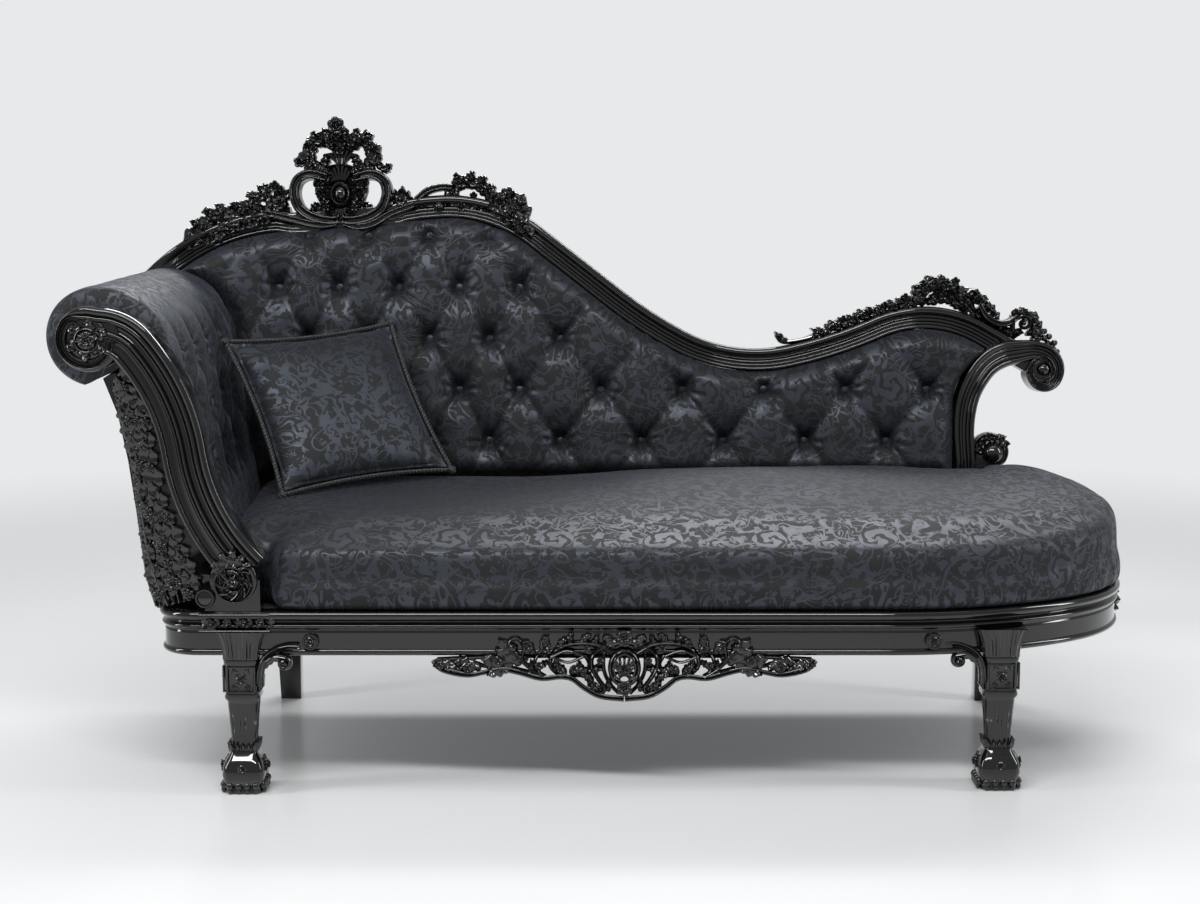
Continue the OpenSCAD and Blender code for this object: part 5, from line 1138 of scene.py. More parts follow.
def make_front_leg(name, node, x, y):
    """Fluted capital, carved block, tapered fluted shaft and a carved scroll foot."""
    bm = bmesh.new()
    levels = ((0, 30, 32, 0), (2, 33, 35, 0), (9, 33, 35, 0), (12, 31, 33, 0), (20, 36, 38, -1),
        (34, 38, 41, -2),
              (50, 36, 38, -2), (62, 30, 31, -1), (70, 25, 25, 0), (76, 23, 22, 0), (80, 24, 23, 0),
              (84, 22, 21.5, 0), (90, 22, 22, 0, 2.0), (125, 24, 24, 0, 2.6), (160, 27, 27, 0, 2.6),
              (166, 27.5, 27.5, 0), (170, 31, 31, 0), (174, 32, 32, 0), (180, 30.5, 30.5, 0),
                  (232, 31.5, 31.5, 0),
              (238, 33, 33, 0), (242, 32, 32, 0), (245, 32, 32, 0))
    loft(bm, [oblong(wx, wy, z, cy, *flute) for z, wx, wy, cy, *flute in levels])
    rings = []
    for k in range(11):
        t = k / 10
        flare = 32 + 12 * t ** 2.2
        rings.append(oblong(flare, 33 + 4 * t, 243 + 50 * t, -1 - 2 * t, 0.0, 200, 9.0))
    for ring in rings:
        for at in ring:
            if at.y < 0 and abs(at.x) < 0.96 * max(p.x for p in ring):
                t = at.x / max(p.x for p in ring)
                at.y += 2.6 * abs(math.sin(t * math.pi * 5.5)) ** 0.6 - 2.6
            elif abs(at.y) < 30:
                at.x += math.copysign(1.4 * abs(math.sin(at.y * math.pi / 11)) - 1.4, at.x)
    loft(bm, rings)
    front = Matrix.Translation((0, -31, 0)) @ Matrix.Rotation(math.pi / 2, 4, "X")
    panel = bmesh.new()
    for sx, sz in ((-1, 1), (1, 1), (-1, -1), (1, -1)):
        leaf(panel, sx * 3, 206 + sz * 3, 20, math.degrees(math.atan2(sz, sx)), 25 * sx * sz, 0.36, 2,
             high=-1, low=-5, lift=3, curl=2)
        leaf(panel, sx * 2, 206 + sz * 4, 18, math.degrees(math.atan2(sz * 2.6, sx)), -30 * sx * sz, 0.3, 2,
             high=-1, low=-5, lift=2.5, curl=2)
    rose(panel, 0, 206, 9, 1.5)
    for a, b in (((-24, 184), (-24, 229)), ((24, 184), (24, 229)), ((-24, 184), (24, 184)),
        ((-24, 229), (24, 229))):
        stem(panel, [a, ((a[0] + b[0]) / 2, (a[1] + b[1]) / 2), b], 2.2, 2.2, d=0.5, flat=1.0)
    for k in range(-1, 2):
        leaf(panel, k * 11, 60, 34, -90 + k * 9, 0, 0.28, 2, high=1, low=-6, lift=4, curl=3 if k else 5)
    for k in range(-2, 3):
        leaf(panel, k * 9, 74, 17, 90 - k * 6, 0, 0.24, 1, high=-7, low=-11, lift=3, curl=3)
    for side in (-1, 1):
        leaf(panel, side * 22, 52, 30, -90 - side * 14, side * 20, 0.3, 2, high=2, low=-7, lift=4, curl=2)
        rose(panel, side * 13, 42, 7, 6, 4)
    rose(panel, 0, 46, 9, 8)
    for k in range(4):
        blob(panel, (-23 + 15.3 * k, 15, 3), (7.4, 8, 8))
        blob(panel, (-23 + 15.3 * k, 7, 5), (4.2, 7, 4.5))
    bmesh.ops.transform(panel, matrix=front, verts=panel.verts)
    sides = panel.copy()
    mesh = bpy.data.meshes.new("panel")
    panel.to_mesh(mesh)
    for turn in ((0, 90, -90) if y < 0 else (0,)):
        turned = mesh.copy()
        turned.transform(Matrix.Rotation(math.radians(turn), 4, "Z"))
        bm.from_mesh(turned)
    sides.free()
    panel.free()
    carved(name, node, bm, Matrix.Translation((x * MM, y * MM, 0)) @ Matrix.Scale(MM, 4))


def make_brackets():
    """A C scroll from each front leg to the rail, with a leaf and a small carved volute."""
    bm = bmesh.new()
    for x, y, side in ((-619, -384, 1), (662, -362, -1)):
        part = bmesh.new()
        stem(part, [(1, 196), (2, 220), (10, 241), (28, 256), (50, 262), (72, 262)], 8.5, 6.0, d=-8, flat=1.5)
        stem(part, [(-2, 200), (0, 224), (9, 245), (27, 260), (50, 267), (70, 267)], 2.2, 2.2, d=2, flat=1.3)
        stem(part, [(14, 238), (30, 248), (46, 246)], 7.5, 4.0, curl=11, hand=-1, d=-6, flat=1.6)
        rose(part, 44, 234, 8, 6)
        leaf(part, 8, 226, 30, 58, -30, 0.26, 2, high=-2, low=-14, lift=3, curl=3)
        leaf(part, 14, 236, 34, 36, -30, 0.24, 2, high=-2, low=-14, lift=3, curl=3)
        bmesh.ops.transform(part, matrix=on_front(y, x) @ Matrix.Diagonal((side, 1, 1, 1)), verts=part.verts)
        mesh = bpy.data.meshes.new("bracket")
        part.to_mesh(mesh)
        part.free()
        bm.from_mesh(mesh)
    carved("leg_brackets_carved", "leg_brackets", bm, Matrix.Identity(4))


def make_rail_rosettes():
    bm = bmesh.new()
    for x in (-527.0, 570.0):
        y = -376.0 if x < 0 else -372.0
        part = bmesh.new()
        disc(part, (x, 273), 15.0, -8.0, 5.0)
        ring = [Vector((x + 12.5 * math.cos(k * math.pi / 12), 273 + 12.5 * math.sin(k * math.pi / 12), 5))
                for k in range(24)]
        run_along(part, ring, 2.0, 6, closed=True)
        rose(part, x, 273, 10, 5)
        bmesh.ops.transform(part, matrix=on_front(y), verts=part.verts)
        mesh = bpy.data.meshes.new("rosette")
        part.to_mesh(mesh)
        part.free()
        bm.from_mesh(mesh)
    carved("rail_rosettes_carved", "rail_rosettes", bm, Matrix.Identity(4))


# Carvings of the crest and the foot end, drawn in the plane of the back
LOOP = ((-574, 750), (-592, 755), (-608, 757), (-622, 753), (-634, 742), (-639, 723), (-636, 704),
    (-626, 686),
        (-608, 673), (-588, 666), (-567, 663), (-549, 664))
BASE_MOULDS = (((-702, 678), (-674, 673), (-638, 664), (-592, 654), (-554, 657)),
               ((-396, 695), (-444, 677), (-477, 658), (-510, 651), (-538, 658)))
CREST_MID = -545
# The crest's carvings lie over the rail's beads, so their relief is drawn out from the back
on_crest = on_back @ Matrix.Translation((0, 0, -36)) @ Matrix.Diagonal((1, 1, 1.6,
    1)) @ Matrix.Translation((0, 0, 36))


def moulded_line(bm, points, width, depth, beads, low_end, taper=0.0):
    """A small moulding along a smooth line in the plane; its ends may taper."""
    line = flowing([Vector(p) for p in points], 6)
    rings, n = [], len(line) - 1
    for i, at in enumerate(line):
        way = line[min(n, i + 1)] - line[max(0, i - 1)]
        h = math.atan2(way.y, way.x)
        w = 1 - taper * (1 - math.sin(math.pi * (0.06 + 0.88 * i / n)) ** 0.5)
        rings.append([Vector((at.x - a * w * math.sin(h), at.y + a * w * math.cos(h), d + low_end))
                      for a, d in moulding(width, depth, beads, steps=26, ease=3.0)])
    loft(bm, rings)


def make_crest_loops():
    bm = bmesh.new()
    for mirror in (False, True):
        points = [(2 * CREST_MID - x if mirror else x, v) for x, v in LOOP]
        beads = ((6.9, 0.6, 4.4), (-6.6, 0.6, 4.6))
        if mirror:
            beads = tuple((-a, c, r) for a, c, r in beads)
        moulded_line(bm, points, 22, 24, beads, -9, 0.3)
    for points in BASE_MOULDS:
        moulded_line(bm, points, 17, 24, ((4.9, 0.5, 3.3), (-4.6, 0.5, 2.9)), -8, 0.45)
    for side in (-1, 1):
        mid = CREST_MID
        stem(bm, [(mid + side * 30, 752), (mid + side * 40, 746), (mid + side * 46, 738)], 5, 3, curl=5,
             hand=side, d=-20)
        for x, v, size, turn in ((20, 668, 26, 60), (34, 670, 26, 80), (48, 676, 24, 96), (60, 684, 22, 112)):
            leaf(bm, mid + side * x, v, size, turn if side > 0 else 180 - turn, side * 40, 0.4, 3, high=-16,
                lift=4)
    carved("crest_loops_moulded", "crest_loops", bm, on_crest)


def make_crest_cartouche():
    """An oval boss in a ring on a heart of leaves, under a fluted bell."""
    bm = bmesh.new()
    mid = CREST_MID
    heart = ((28, 757), (46, 753), (54, 741), (54, 724), (48, 706), (38, 690), (27, 677), (13, 665))
    slab(bm, [(mid, 752)] + [(mid + x, v) for x, v in heart] + [(mid, 657)]
         + [(mid - x, v) for x, v in reversed(heart)], -34, -20)
    blob(bm, (mid, 708, -24), (38, 44, 13), detail=3)
    for rx, rz, r, d in ((17, 21, 3.2, -5), (23.5, 27.5, 2.6, -9)):
        ring = [Vector((mid + rx * math.cos(k * math.pi / 18), 717 + rz * math.sin(k * math.pi / 18), d))
                for k in range(36)]
        run_along(bm, ring, r, 8, closed=True)
    blob(bm, (mid, 717, -8), (13.5, 17.5, 9), detail=3)
    fan(bm, mid, 732, 42, 90, 64, 6, d=-13, r=5.0)
    stem(bm, [(mid - 25, 771), (mid - 12, 775), (mid, 776), (mid + 12, 775), (mid + 25, 771)], 3, 3, d=-12)
    for side in (-1, 1):
        for x, v, size, turn, bend in (
                (20, 688, 36, 70, -34), (26, 700, 32, 60, -50), (18, 676, 26, 60, 30), (28, 722, 28, 72, -50),
                (18, 738, 28, 56, -40), (30, 742, 22, 30, -60), (24, 712, 30, 88, 20), (12, 668, 24, 66, 20),
                (34, 724, 22, 110, 40), (24, 750, 22, 20, 40), (36, 708, 20, 80, -60),
                    (10, 750, 22, 74, -40)):
            leaf(bm, mid + side * x, v, size, turn if side > 0 else 180 - turn, side * bend, 0.36, 4,
                high=-13,
                 low=-30, lift=6, curl=6)
        stem(bm, [(mid + side * 6, 662), (mid + side * 24, 674), (mid + side * 34, 692), (mid + side * 30,
            714)],
             3.6, 2.2, curl=7, hand=side, d=-12)
        stem(bm, [(mid + side * 26, 736), (mid + side * 38, 746), (mid + side * 50, 742)], 4.2, 2.4, curl=6,
             hand=-side, d=-12)
        rose(bm, mid + side * 40, 735, 8, -9)
        rose(bm, mid + side * 29, 690, 7.5, -8)
    fan(bm, mid, 690, 28, -90, 76, 5, d=-12, r=3.6)
    rose(bm, mid, 667, 10, -7)
    carved("crest_cartouche_carved", "crest_cartouche", bm, on_crest)


def make_crest_crown():
    """A pierced crown: two leafy scrolls round a fluted cup, a rose on top and a bud at each side."""
    bm = bmesh.new()
    mid = CREST_MID
    fan(bm, mid, 770, 40, 90, 74, 6, d=-18, r=5.2)
    stem(bm, [(mid, 762), (mid, 775), (mid, 790)], 11, 13, d=-22, flat=1.0)
    for side in (-1, 1):
        turn = (lambda a: a if side > 0 else 180 - a)
        arc = [(0, 806), (20, 820), (40, 826), (56, 817), (63, 799), (58, 780), (43, 767), (28, 760)]
        leafy(bm, [(mid + side * x, v) for x, v in arc], 19, d=-19, lean=22, step=0.36)
        leaf(bm, mid + side * 4, 828, 40, turn(20), -side * 50, 0.34, 4, high=-14, lift=6, curl=6)
        leaf(bm, mid + side * 30, 772, 30, turn(70), side * 70, 0.36, 3, high=-15, lift=5, curl=6)
        leaf(bm, mid + side * 14, 806, 28, turn(60), side * 40, 0.34, 3, high=-12, lift=5, curl=6)
        leaf(bm, mid + side * 30, 826, 26, turn(100), -side * 50, 0.4, 3, high=-14, lift=5, curl=5)
        leaf(bm, mid + side * 52, 822, 24, turn(60), side * 60, 0.4, 3, high=-14, lift=5, curl=5)
        leaf(bm, mid + side * 62, 804, 20, turn(20), side * 60, 0.4, 2, high=-15, lift=4, curl=4)
        rose(bm, mid + side * 22, 822, 9, -10)
        rose(bm, mid + side * 54, 808, 8, -10)
    leaf(bm, mid, 796, 34, 92, 0, 0.3, 4, high=-10, lift=6, curl=6)
    rose(bm, mid, 806, 10, -8)
    stem(bm, [(mid, 820), (mid - 5, 832), (mid - 9, 846)], 7, 6, d=-22)
    for a in (10, 50, 128, 170):
        leaf(bm, mid - 9, 838, 24, a, 0, 0.36, 2, high=-17, lift=3, curl=5)
    blob(bm, (mid - 9, 855, -22), (15, 15, 12))
    rose(bm, mid - 9, 856, 18.5, -18, 6)
    rose(bm, mid + 11, 844, 7.5, -16)
    stem(bm, [(mid - 60, 778), (mid - 72, 780), (mid - 82, 783)], 5, 4, d=-22)
    rose(bm, mid - 84, 783, 13, -20)
    leaf(bm, mid - 66, 778, 18, 150, 30, 0.4, 2, high=-16, lift=3, curl=4)
    stem(bm, [(mid + 60, 776), (mid + 66, 786), (mid + 70, 796)], 5, 4, d=-22)
    for a in (50, 88, 126):
        leaf(bm, mid + 69, 784, 20, a, 0, 0.4, 2, high=-16, lift=3, curl=5)
    for k, a in enumerate((20, -6, 50)):
        leaf(bm, mid + 72 + 8 * k, 772 - 3 * k, 20, a, -20, 0.4, 2, high=-16, lift=3, curl=5)
    carved("crest_crown_carved", "crest_crown", bm, on_crest)


def make_left_garland():
    bm = bmesh.new()
    leafy(bm, [(-648, 684), (-690, 677), (-718, 675), (-751, 668), (-786, 662), (-813, 648), (-838, 630)], 25,
          d=-20, lean=30, step=0.36, roses=5)
    leafy(bm, [(-664, 672), (-704, 664), (-744, 655), (-780, 642), (-808, 628)], 17, d=-13, lean=30, step=0.4)
    leafy(bm, [(-690, 686), (-694, 697), (-704, 716), (-718, 716), (-731, 703), (-722, 690)], 15, d=-17,
        lean=22)
    leafy(bm, [(-778, 668), (-788, 677), (-807, 677), (-823, 664), (-827, 646), (-815, 631)], 16, d=-17,
        lean=22)
    leafy(bm, [(-660, 680), (-668, 698), (-661, 716)], 17, d=-19, lean=34)
    stem(bm, [(-676, 680), (-680, 704), (-680, 724)], 4.4, 3.2, d=-20)
    rose(bm, -680, 734, 12, -18)
    rose(bm, -669, 699, 14, -14, 6)
    rose(bm, -661, 719, 8, -16)
    rose(bm, -712, 704, 9, -12)
    rose(bm, -844, 643, 11, -18)
    rose(bm, -826, 626, 10, -16)
    fan(bm, -766, 652, 24, 200, 150, 8, d=-12, r=2.9)
    rose(bm, -770, 651, 8, -8)
    for x, v, size, turn, bend in (
            (-676, 716, 22, 50, 20), (-688, 722, 22, 140, -20), (-700, 716, 24, 110, 40),
                (-736, 690, 28, 150, 40),
            (-748, 682, 28, 120, 50), (-762, 680, 28, 150, 40), (-800, 672, 24, 120, 50),
                (-832, 650, 24, 130, 40)):
        leaf(bm, x, v, size, turn, bend, 0.4, 3, high=-16, lift=5, curl=6)
    carved("left_garland_carved", "left_garland", bm, on_crest)


def make_right_garland():
    bm = bmesh.new()
    for k, a in enumerate((40, 62, 84, 106, 128)):
        leaf(bm, -424, 690, 44 - abs(a - 84) * 0.25, a, 0, 0.27, 3, high=-15 + (k % 2) * 3, lift=5, curl=6)
    leafy(bm, [(-430, 684), (-404, 694), (-382, 700)], 14, d=-18)
    moulded_line(bm, [(-392, 706), (-367, 725), (-339, 732), (-318, 731)], 15, 22,
                 ((4.0, 0.5, 3.3), (-3.6, 0.5, 2.8)), -10, 0.2)
    stem(bm, [(-404, 690), (-377, 699), (-357, 700), (-345, 694)], 5, 5, d=-18)
    blob(bm, (-345, 692, -15), (12, 12, 12), detail=3)
    leafy(bm, [(-328, 692), (-320, 722), (-300, 738), (-277, 741), (-257, 731), (-241, 715), (-236, 696)], 18,
          d=-18, lean=26, step=0.36, roses=5)
    leafy(bm, [(-345, 684), (-300, 681), (-264, 686), (-230, 682)], 15, d=-20, lean=30)
    stem(bm, [(-296, 684), (-288, 700), (-274, 714)], 4, 3, d=-18)
    rose(bm, -275, 714, 9, -14)
    rose(bm, -300, 692, 10, -12)
    leafy(bm, [(-240, 714), (-220, 718), (-204, 712), (-188, 701), (-176, 684)], 20, d=-18, lean=24,
        step=0.36)
    leafy(bm, [(-244, 696), (-223, 690), (-208, 680), (-190, 666), (-179, 652)], 24, d=-14, lean=26,
        step=0.34,
          roses=4)
    rose(bm, -222, 702, 12, -12, 6)
    rose(bm, -196, 684, 10, -10)
    for x, v, size, turn, bend in (
            (-306, 740, 22, 120, -40), (-286, 746, 22, 80, -60), (-266, 742, 22, 50, -60),
                (-250, 730, 22, 20, -40),
            (-214, 690, 26, -80, 20), (-196, 668, 26, -80, 10)):
        leaf(bm, x, v, size, turn, bend, 0.4, 3, high=-14, lift=5, curl=6)
    carved("right_garland_carved", "right_garland", bm, on_crest)


def make_end_garland():
    bm = bmesh.new()
    stem(bm, [(470, 450), (437, 434), (404, 423), (371, 417), (352, 418), (343, 428)], 5.0, 3.0, curl=3.5,
        hand=-1,
         d=-20)
    leaf(bm, 366, 418, 34, 158, -30, 0.24, 2, high=-17, lift=4, curl=5)
    leaf(bm, 440, 436, 30, 172, -20, 0.2, 2, high=-16, lift=3, curl=3)
    leafy(bm, [(400, 422), (437, 439), (478, 456), (527, 474), (564, 485), (607, 498), (634, 502)], 14, d=-18,
          lean=32, step=0.44, roses=3)
    for x, v, r in ((478, 462, 10), (531, 478, 11), (562, 490, 10), (604, 505, 12)):
        rose(bm, x, v, r, -14)
    leafy(bm, [(620, 490), (630, 514), (652, 530), (680, 534), (707, 523), (726, 502), (748, 478)], 20, d=-18,
          lean=15, step=0.34, roses=4)
    leafy(bm, [(640, 500), (668, 506), (696, 504), (720, 492)], 15, d=-20, lean=20, step=0.4)
    stem(bm, [(636, 498), (650, 518), (664, 526)], 4.2, 2.4, curl=8, hand=-1, d=-15)
    stem(bm, [(712, 500), (704, 518), (692, 524)], 4.2, 2.4, curl=7, hand=1, d=-15)
    rose(bm, 680, 512, 10, -14)
    stem(bm, [(728, 482), (724, 506), (738, 522)], 5.4, 3.0, curl=15, hand=-1, d=-14, turns=1.1)
    for x, v, r in ((764, 512, 13), (778, 496, 12), (756, 524, 9), (790, 486, 9), (640, 534, 10),
        (706, 540, 10),
                    (838, 488, 11), (858, 486, 11), (872, 472, 10)):
        rose(bm, x, v, r, -14)
    leafy(bm, [(744, 520), (764, 516), (780, 500), (794, 482)], 16, d=-18, lean=18, step=0.36)
    leafy(bm, [(736, 490), (760, 484), (786, 466), (812, 452), (840, 446)], 14, d=-22, lean=26, step=0.4)
    moulded_line(bm, [(764, 500), (776, 484), (790, 473), (807, 467), (826, 470), (842, 482)], 15, 22,
                 ((4.0, 0.5, 3.3), (-3.6, 0.5, 2.8)), -9, 0.2)
    stem(bm, [(832, 450), (834, 474), (850, 482)], 5.4, 3.0, curl=15, hand=-1, d=-14, turns=1.1)
    leafy(bm, [(830, 480), (848, 487), (868, 480), (880, 464), (884, 448)], 15, d=-18, lean=18, step=0.36)
    for k, (x, v) in enumerate(((879, 458), (889, 449), (900, 452), (898, 438), (909, 441), (908, 427), (919,
        428),
                                (918, 415), (926, 410), (888, 438), (928, 399), (870, 450))):
        blob(bm, (x, v, -18 - (k % 3) * 3), (7.0, 7.0, 7.0))
    stem(bm, [(862, 446), (884, 444), (904, 432), (920, 412)], 4.2, 3.0, d=-24)
    for vert in bm.verts:
        sunk_by = eased_in(vert.co.x, 730, 778)
        vert.co.x -= 9 * sunk_by
        vert.co.y -= 13 * sunk_by
    carved("end_garland_carved", "end_garland", bm, on_crest)


def make_lower_scroll():
    """The ball at the foot of the C scroll, under a cap of leaves."""
    bm = bmesh.new()
    x, v = 786.0, 190.0
    disc(bm, (x, v), 25.0, -40.0, -12.0, 4.0)
    blob(bm, (x, v, 1), (20.5, 20.5, 18), detail=4)
    slab(bm, [(740, 140), (796, 140), (800, 190), (740, 214)], -38.0, -12.0)
    moulded_line(bm, [(750, 176), (748, 200), (758, 218), (780, 226), (802, 216), (812, 196), (808, 176),
        (794, 164)],
                 13, 26, ((3.4, 0.5, 3.0), (-3.2, 0.5, 2.8)), -2, 0.3)
    for k, a in enumerate((178, 150, 124, 98, 72, 46)):
        r = math.radians(a)
        leaf(bm, x + 20 * math.cos(r), v + 20 * math.sin(r), 26 - (k % 2) * 4, a - 10, -50, 0.4, 3, high=-2,
            low=-30,
             lift=6, curl=7)
    carved("lower_scroll_carved", "lower_scroll", bm, on_back)


# Carvings on the arm's post
def make_volute_rosette():
    bm = bmesh.new()
    disc(bm, VOLUTE, 38.0, -3.0, 1.0, 3.0)
    x, v = VOLUTE
    for k in range(6):
        a = 60 * k + 20
        r = math.radians(a)
        leaf(bm, x + 9 * math.cos(r), v + 9 * math.sin(r), 31, a - 14, 60, 0.42, 3, high=3, low=-1, lift=7,
            curl=3)
    rose(bm, x, v, 15, 9, 5)
    stem(bm, [(x + 20 * math.cos(t / 4), v + 20 * math.sin(t / 4)) for t in range(4, 26)], 2.4, 1.6, d=8,
        flat=1.2)
    carved("volute_rosette_carved", "arm_volute_rosette", bm, on_front(-376))


def make_foot_swirl():
    """Leaves that break from the post into the swirl at its foot."""
    bm = bmesh.new()
    x, v = SWIRL
    for a, size in ((150, 34), (128, 38), (106, 38), (84, 34), (62, 28)):
        r = math.radians(a)
        leaf(bm, x + 22 * math.cos(r), v + 22 * math.sin(r), size, a - 12, -48, 0.3, 3, high=4, low=-4,
            lift=5,
             curl=3)
    rose(bm, x, v, 11, 13)
    blob(bm, (x - 50, v - 30, 0), (17, 17, 8), detail=3)
    ring = [Vector((x - 50 + 15 * math.cos(k * math.pi / 10), v - 30 + 15 * math.sin(k * math.pi / 10), 5))
            for k in range(20)]
    run_along(bm, ring, 2.6, 6, closed=True)
    carved("foot_swirl_carved", "arm_foot_swirl", bm, on_front(-376))


def make_front_panel():
    """Leafy vines and roses that climb the board beside the post."""
    bm = solid_of("arm_front_panel")
    part = bmesh.new()
    left = ((-806, 330), (-822, 390), (-832, 490), (-843, 590), (-856, 660), (-872, 726))
    right = ((-714, 346), (-744, 420), (-772, 490), (-794, 580), (-812, 660), (-838, 724))

    def between(t, wave=0.0):
        return [(a[0] + (b[0] - a[0]) * t + wave * math.sin(2.2 * k + 6 * t), a[1] + (b[1] - a[1]) * t)
                for k, (a, b) in enumerate(zip(left, right))]

    leafy(part, [(x + 10, v) for x, v in left], 13, d=0, lean=12, step=0.5)
    stem(part, [(x + 3, v) for x, v in left], 3.6, 3.0, d=-2, flat=1.6)
    leafy(part, between(0.36, 3)[:5], 19, d=3, lean=30, step=0.5, roses=5)
    leafy(part, between(0.62, 5)[:5], 22, d=1, lean=30, step=0.45, roses=5)
    leafy(part, between(0.86, 4), 20, d=2, lean=24, step=0.45, roses=5)
    stem(part, between(0.22, 5)[:5], 3.2, 2.4, d=7, flat=1.2)
    stem(part, between(0.5, -7)[:4], 3.2, 2.4, d=7, flat=1.2)
    for x, v, r in ((-770, 372, 15), (-796, 352, 12), (-744, 352, 12), (-790, 436, 12), (-812, 500, 10)):
        rose(part, x, v, r, 9, 6)
    bmesh.ops.transform(part, matrix=on_front(-344), verts=part.verts)
    mesh = bpy.data.meshes.new("vines")
    part.to_mesh(mesh)
    part.free()
    bm.from_mesh(mesh)
    carved("front_panel_carved", "arm_front_panel", bm, Matrix.Identity(4))


# The apron, drawn in the plane of the front rail from its own middle
BORDER = ((-338, 238), (-321, 221), (-279, 212), (-247, 217), (-215, 222), (-184, 216), (-147, 206),
    (-113, 209),
          (-92, 205), (-71, 189), (-43, 174), (-1, 169))


def make_apron_half(bm):
    stem(bm, BORDER, 4.2, 5.0, d=-9, flat=2.0)
    stem(bm, [(x * 0.985, v + 5.5) for x, v in BORDER[1:]], 1.8, 1.8, d=1, flat=1.0)
    stem(bm, [(-330, 240), (-250, 244), (-160, 246), (-60, 246), (0, 246)], 4.0, 4.0, d=-12, flat=2.0)
    stem(bm, [(-22, 254), (-47, 267), (-78, 270), (-110, 265), (-128, 248), (-130, 229), (-116, 214)], 5.5,
        3.4,
         curl=8, hand=1, d=-6)
    stem(bm, [(-127, 247), (-101, 258), (-71, 248)], 2.8, 2.8, d=0, flat=1.2)
    stem(bm, [(-127, 247), (-99, 237), (-71, 248)], 2.8, 2.8, d=0, flat=1.2)
    stem(bm, [(-32, 266), (-54, 251), (-58, 231), (-48, 209), (-36, 192)], 5.2, 3.2, curl=8, hand=-1, d=-6)
    stem(bm, [(-70, 250), (-62, 232), (-72, 214), (-88, 212)], 4.0, 2.4, curl=8, hand=-1, d=-6)
    stem(bm, [(-140, 210), (-166, 226), (-188, 246), (-204, 262), (-200, 276), (-187, 278), (-178, 264),
        (-180, 244)],
         4.8, 2.6, curl=5, hand=1, d=-6)
    stem(bm, [(-150, 212), (-201, 226), (-240, 236)], 5.0, 2.6, curl=7, hand=-1, d=-8)
    stem(bm, [(-219, 226), (-250, 230), (-270, 238)], 4.4, 2.4, curl=9, hand=1, d=-8)
    stem(bm, [(-148, 214), (-158, 236), (-150, 254)], 4.2, 2.4, curl=7, hand=-1, d=-6)
    stem(bm, [(-276, 214), (-296, 224), (-316, 232), (-334, 240)], 4.0, 3.0, d=-8)
    for x, v, r in ((-140, 262, 9), (-150, 232, 8), (-88, 226, 9), (-66, 262, 7), (-172, 262, 7),
        (-52, 196, 8),
                    (-112, 224, 7), (-222, 240, 8), (-276, 226, 8), (-42, 240, 8), (-326, 232, 7)):
        rose(bm, x, v, r, 2)
    for x, v, size, turn, bend in (
            (-180, 236, 54, 160, -16), (-186, 244, 50, 146, -20), (-196, 230, 58, 172, -10),
                (-204, 224, 40, 190, 10),
            (-160, 250, 34, 110, 40), (-146, 258, 30, 78, -30), (-132, 262, 28, 128, -30),
                (-118, 262, 26, 60, -30),
            (-96, 268, 26, 100, -50), (-76, 268, 28, 70, -50), (-52, 262, 26, 96, -50),
                (-64, 218, 30, 150, 50),
            (-84, 214, 26, 60, 50), (-104, 216, 24, 120, 40), (-124, 220, 26, 60, 50),
                (-134, 236, 22, 200, 30),
            (-56, 200, 30, 120, 50), (-46, 186, 26, 150, -20), (-30, 184, 26, 60, 60),
                (-252, 226, 40, 166, 20),
            (-262, 236, 40, 184, -20), (-286, 220, 34, 150, 40), (-296, 232, 36, 178, -10),
                (-312, 226, 26, 160, 20),
            (-240, 222, 24, 60, 40), (-214, 228, 22, 70, 40), (-166, 216, 24, 70, 40),
                (-188, 262, 20, 150, 30),
            (-38, 226, 26, 200, -40), (-40, 252, 24, 60, 40)):
        leaf(bm, x, v, size, turn, bend, 0.28, 3, high=-3, low=-18, lift=5, curl=4)


def make_apron():
    bm = bmesh.new()
    make_apron_half(bm)
    half = bmesh.ops.duplicate(bm, geom=bm.verts[:] + bm.edges[:] + bm.faces[:])["geom"]
    bmesh.ops.transform(bm, matrix=Matrix.Diagonal((-1, 1, 1, 1)),
                        verts=[g for g in half if isinstance(g, bmesh.types.BMVert)])
    ring = [Vector((25 * math.cos(k * math.pi / 18), 227 + 31 * math.sin(k * math.pi / 18),
        -2)) for k in range(36)]
    run_along(bm, ring, 4.6, 8, flat=1.8, closed=True)
    ring = [Vector((19 * math.cos(k * math.pi / 18), 227 + 25 * math.sin(k * math.pi / 18),
        4)) for k in range(36)]
    run_along(bm, ring, 1.8, 6, closed=True)
    fan(bm, 0, 212, 32, 90, 92, 7, d=0, r=3.0)
    for side in (-1, 1):
        turn = (lambda a: a if side > 0 else 180 - a)
        leaf(bm, side * 2, 220, 24, turn(-50), side * 30, 0.34, 2, high=0, low=-14, lift=5, curl=3)
        leaf(bm, side * 3, 226, 22, turn(12), side * 30, 0.3, 2, high=0, low=-14, lift=5, curl=3)
        leaf(bm, side * 16, 262, 34, turn(34), side * 40, 0.3, 3, high=-2, low=-16, lift=5, curl=4)
        leaf(bm, side * 10, 270, 30, turn(8), side * 40, 0.3, 2, high=-2, low=-14, lift=4, curl=4)
        stem(bm, [(side * 8, 270), (side * 26, 266), (side * 36, 250), (side * 36, 222), (side * 26, 198),
                  (side * 10, 180)], 4.6, 3.6, d=-6)
    rose(bm, 0, 226, 12, 4, 6)
    rose(bm, 0, 281, 15, 0, 6)
    rose(bm, 0, 191, 14, 1, 6)
    carved("apron_carved", "apron_carving", bm, on_front(-382, 25))


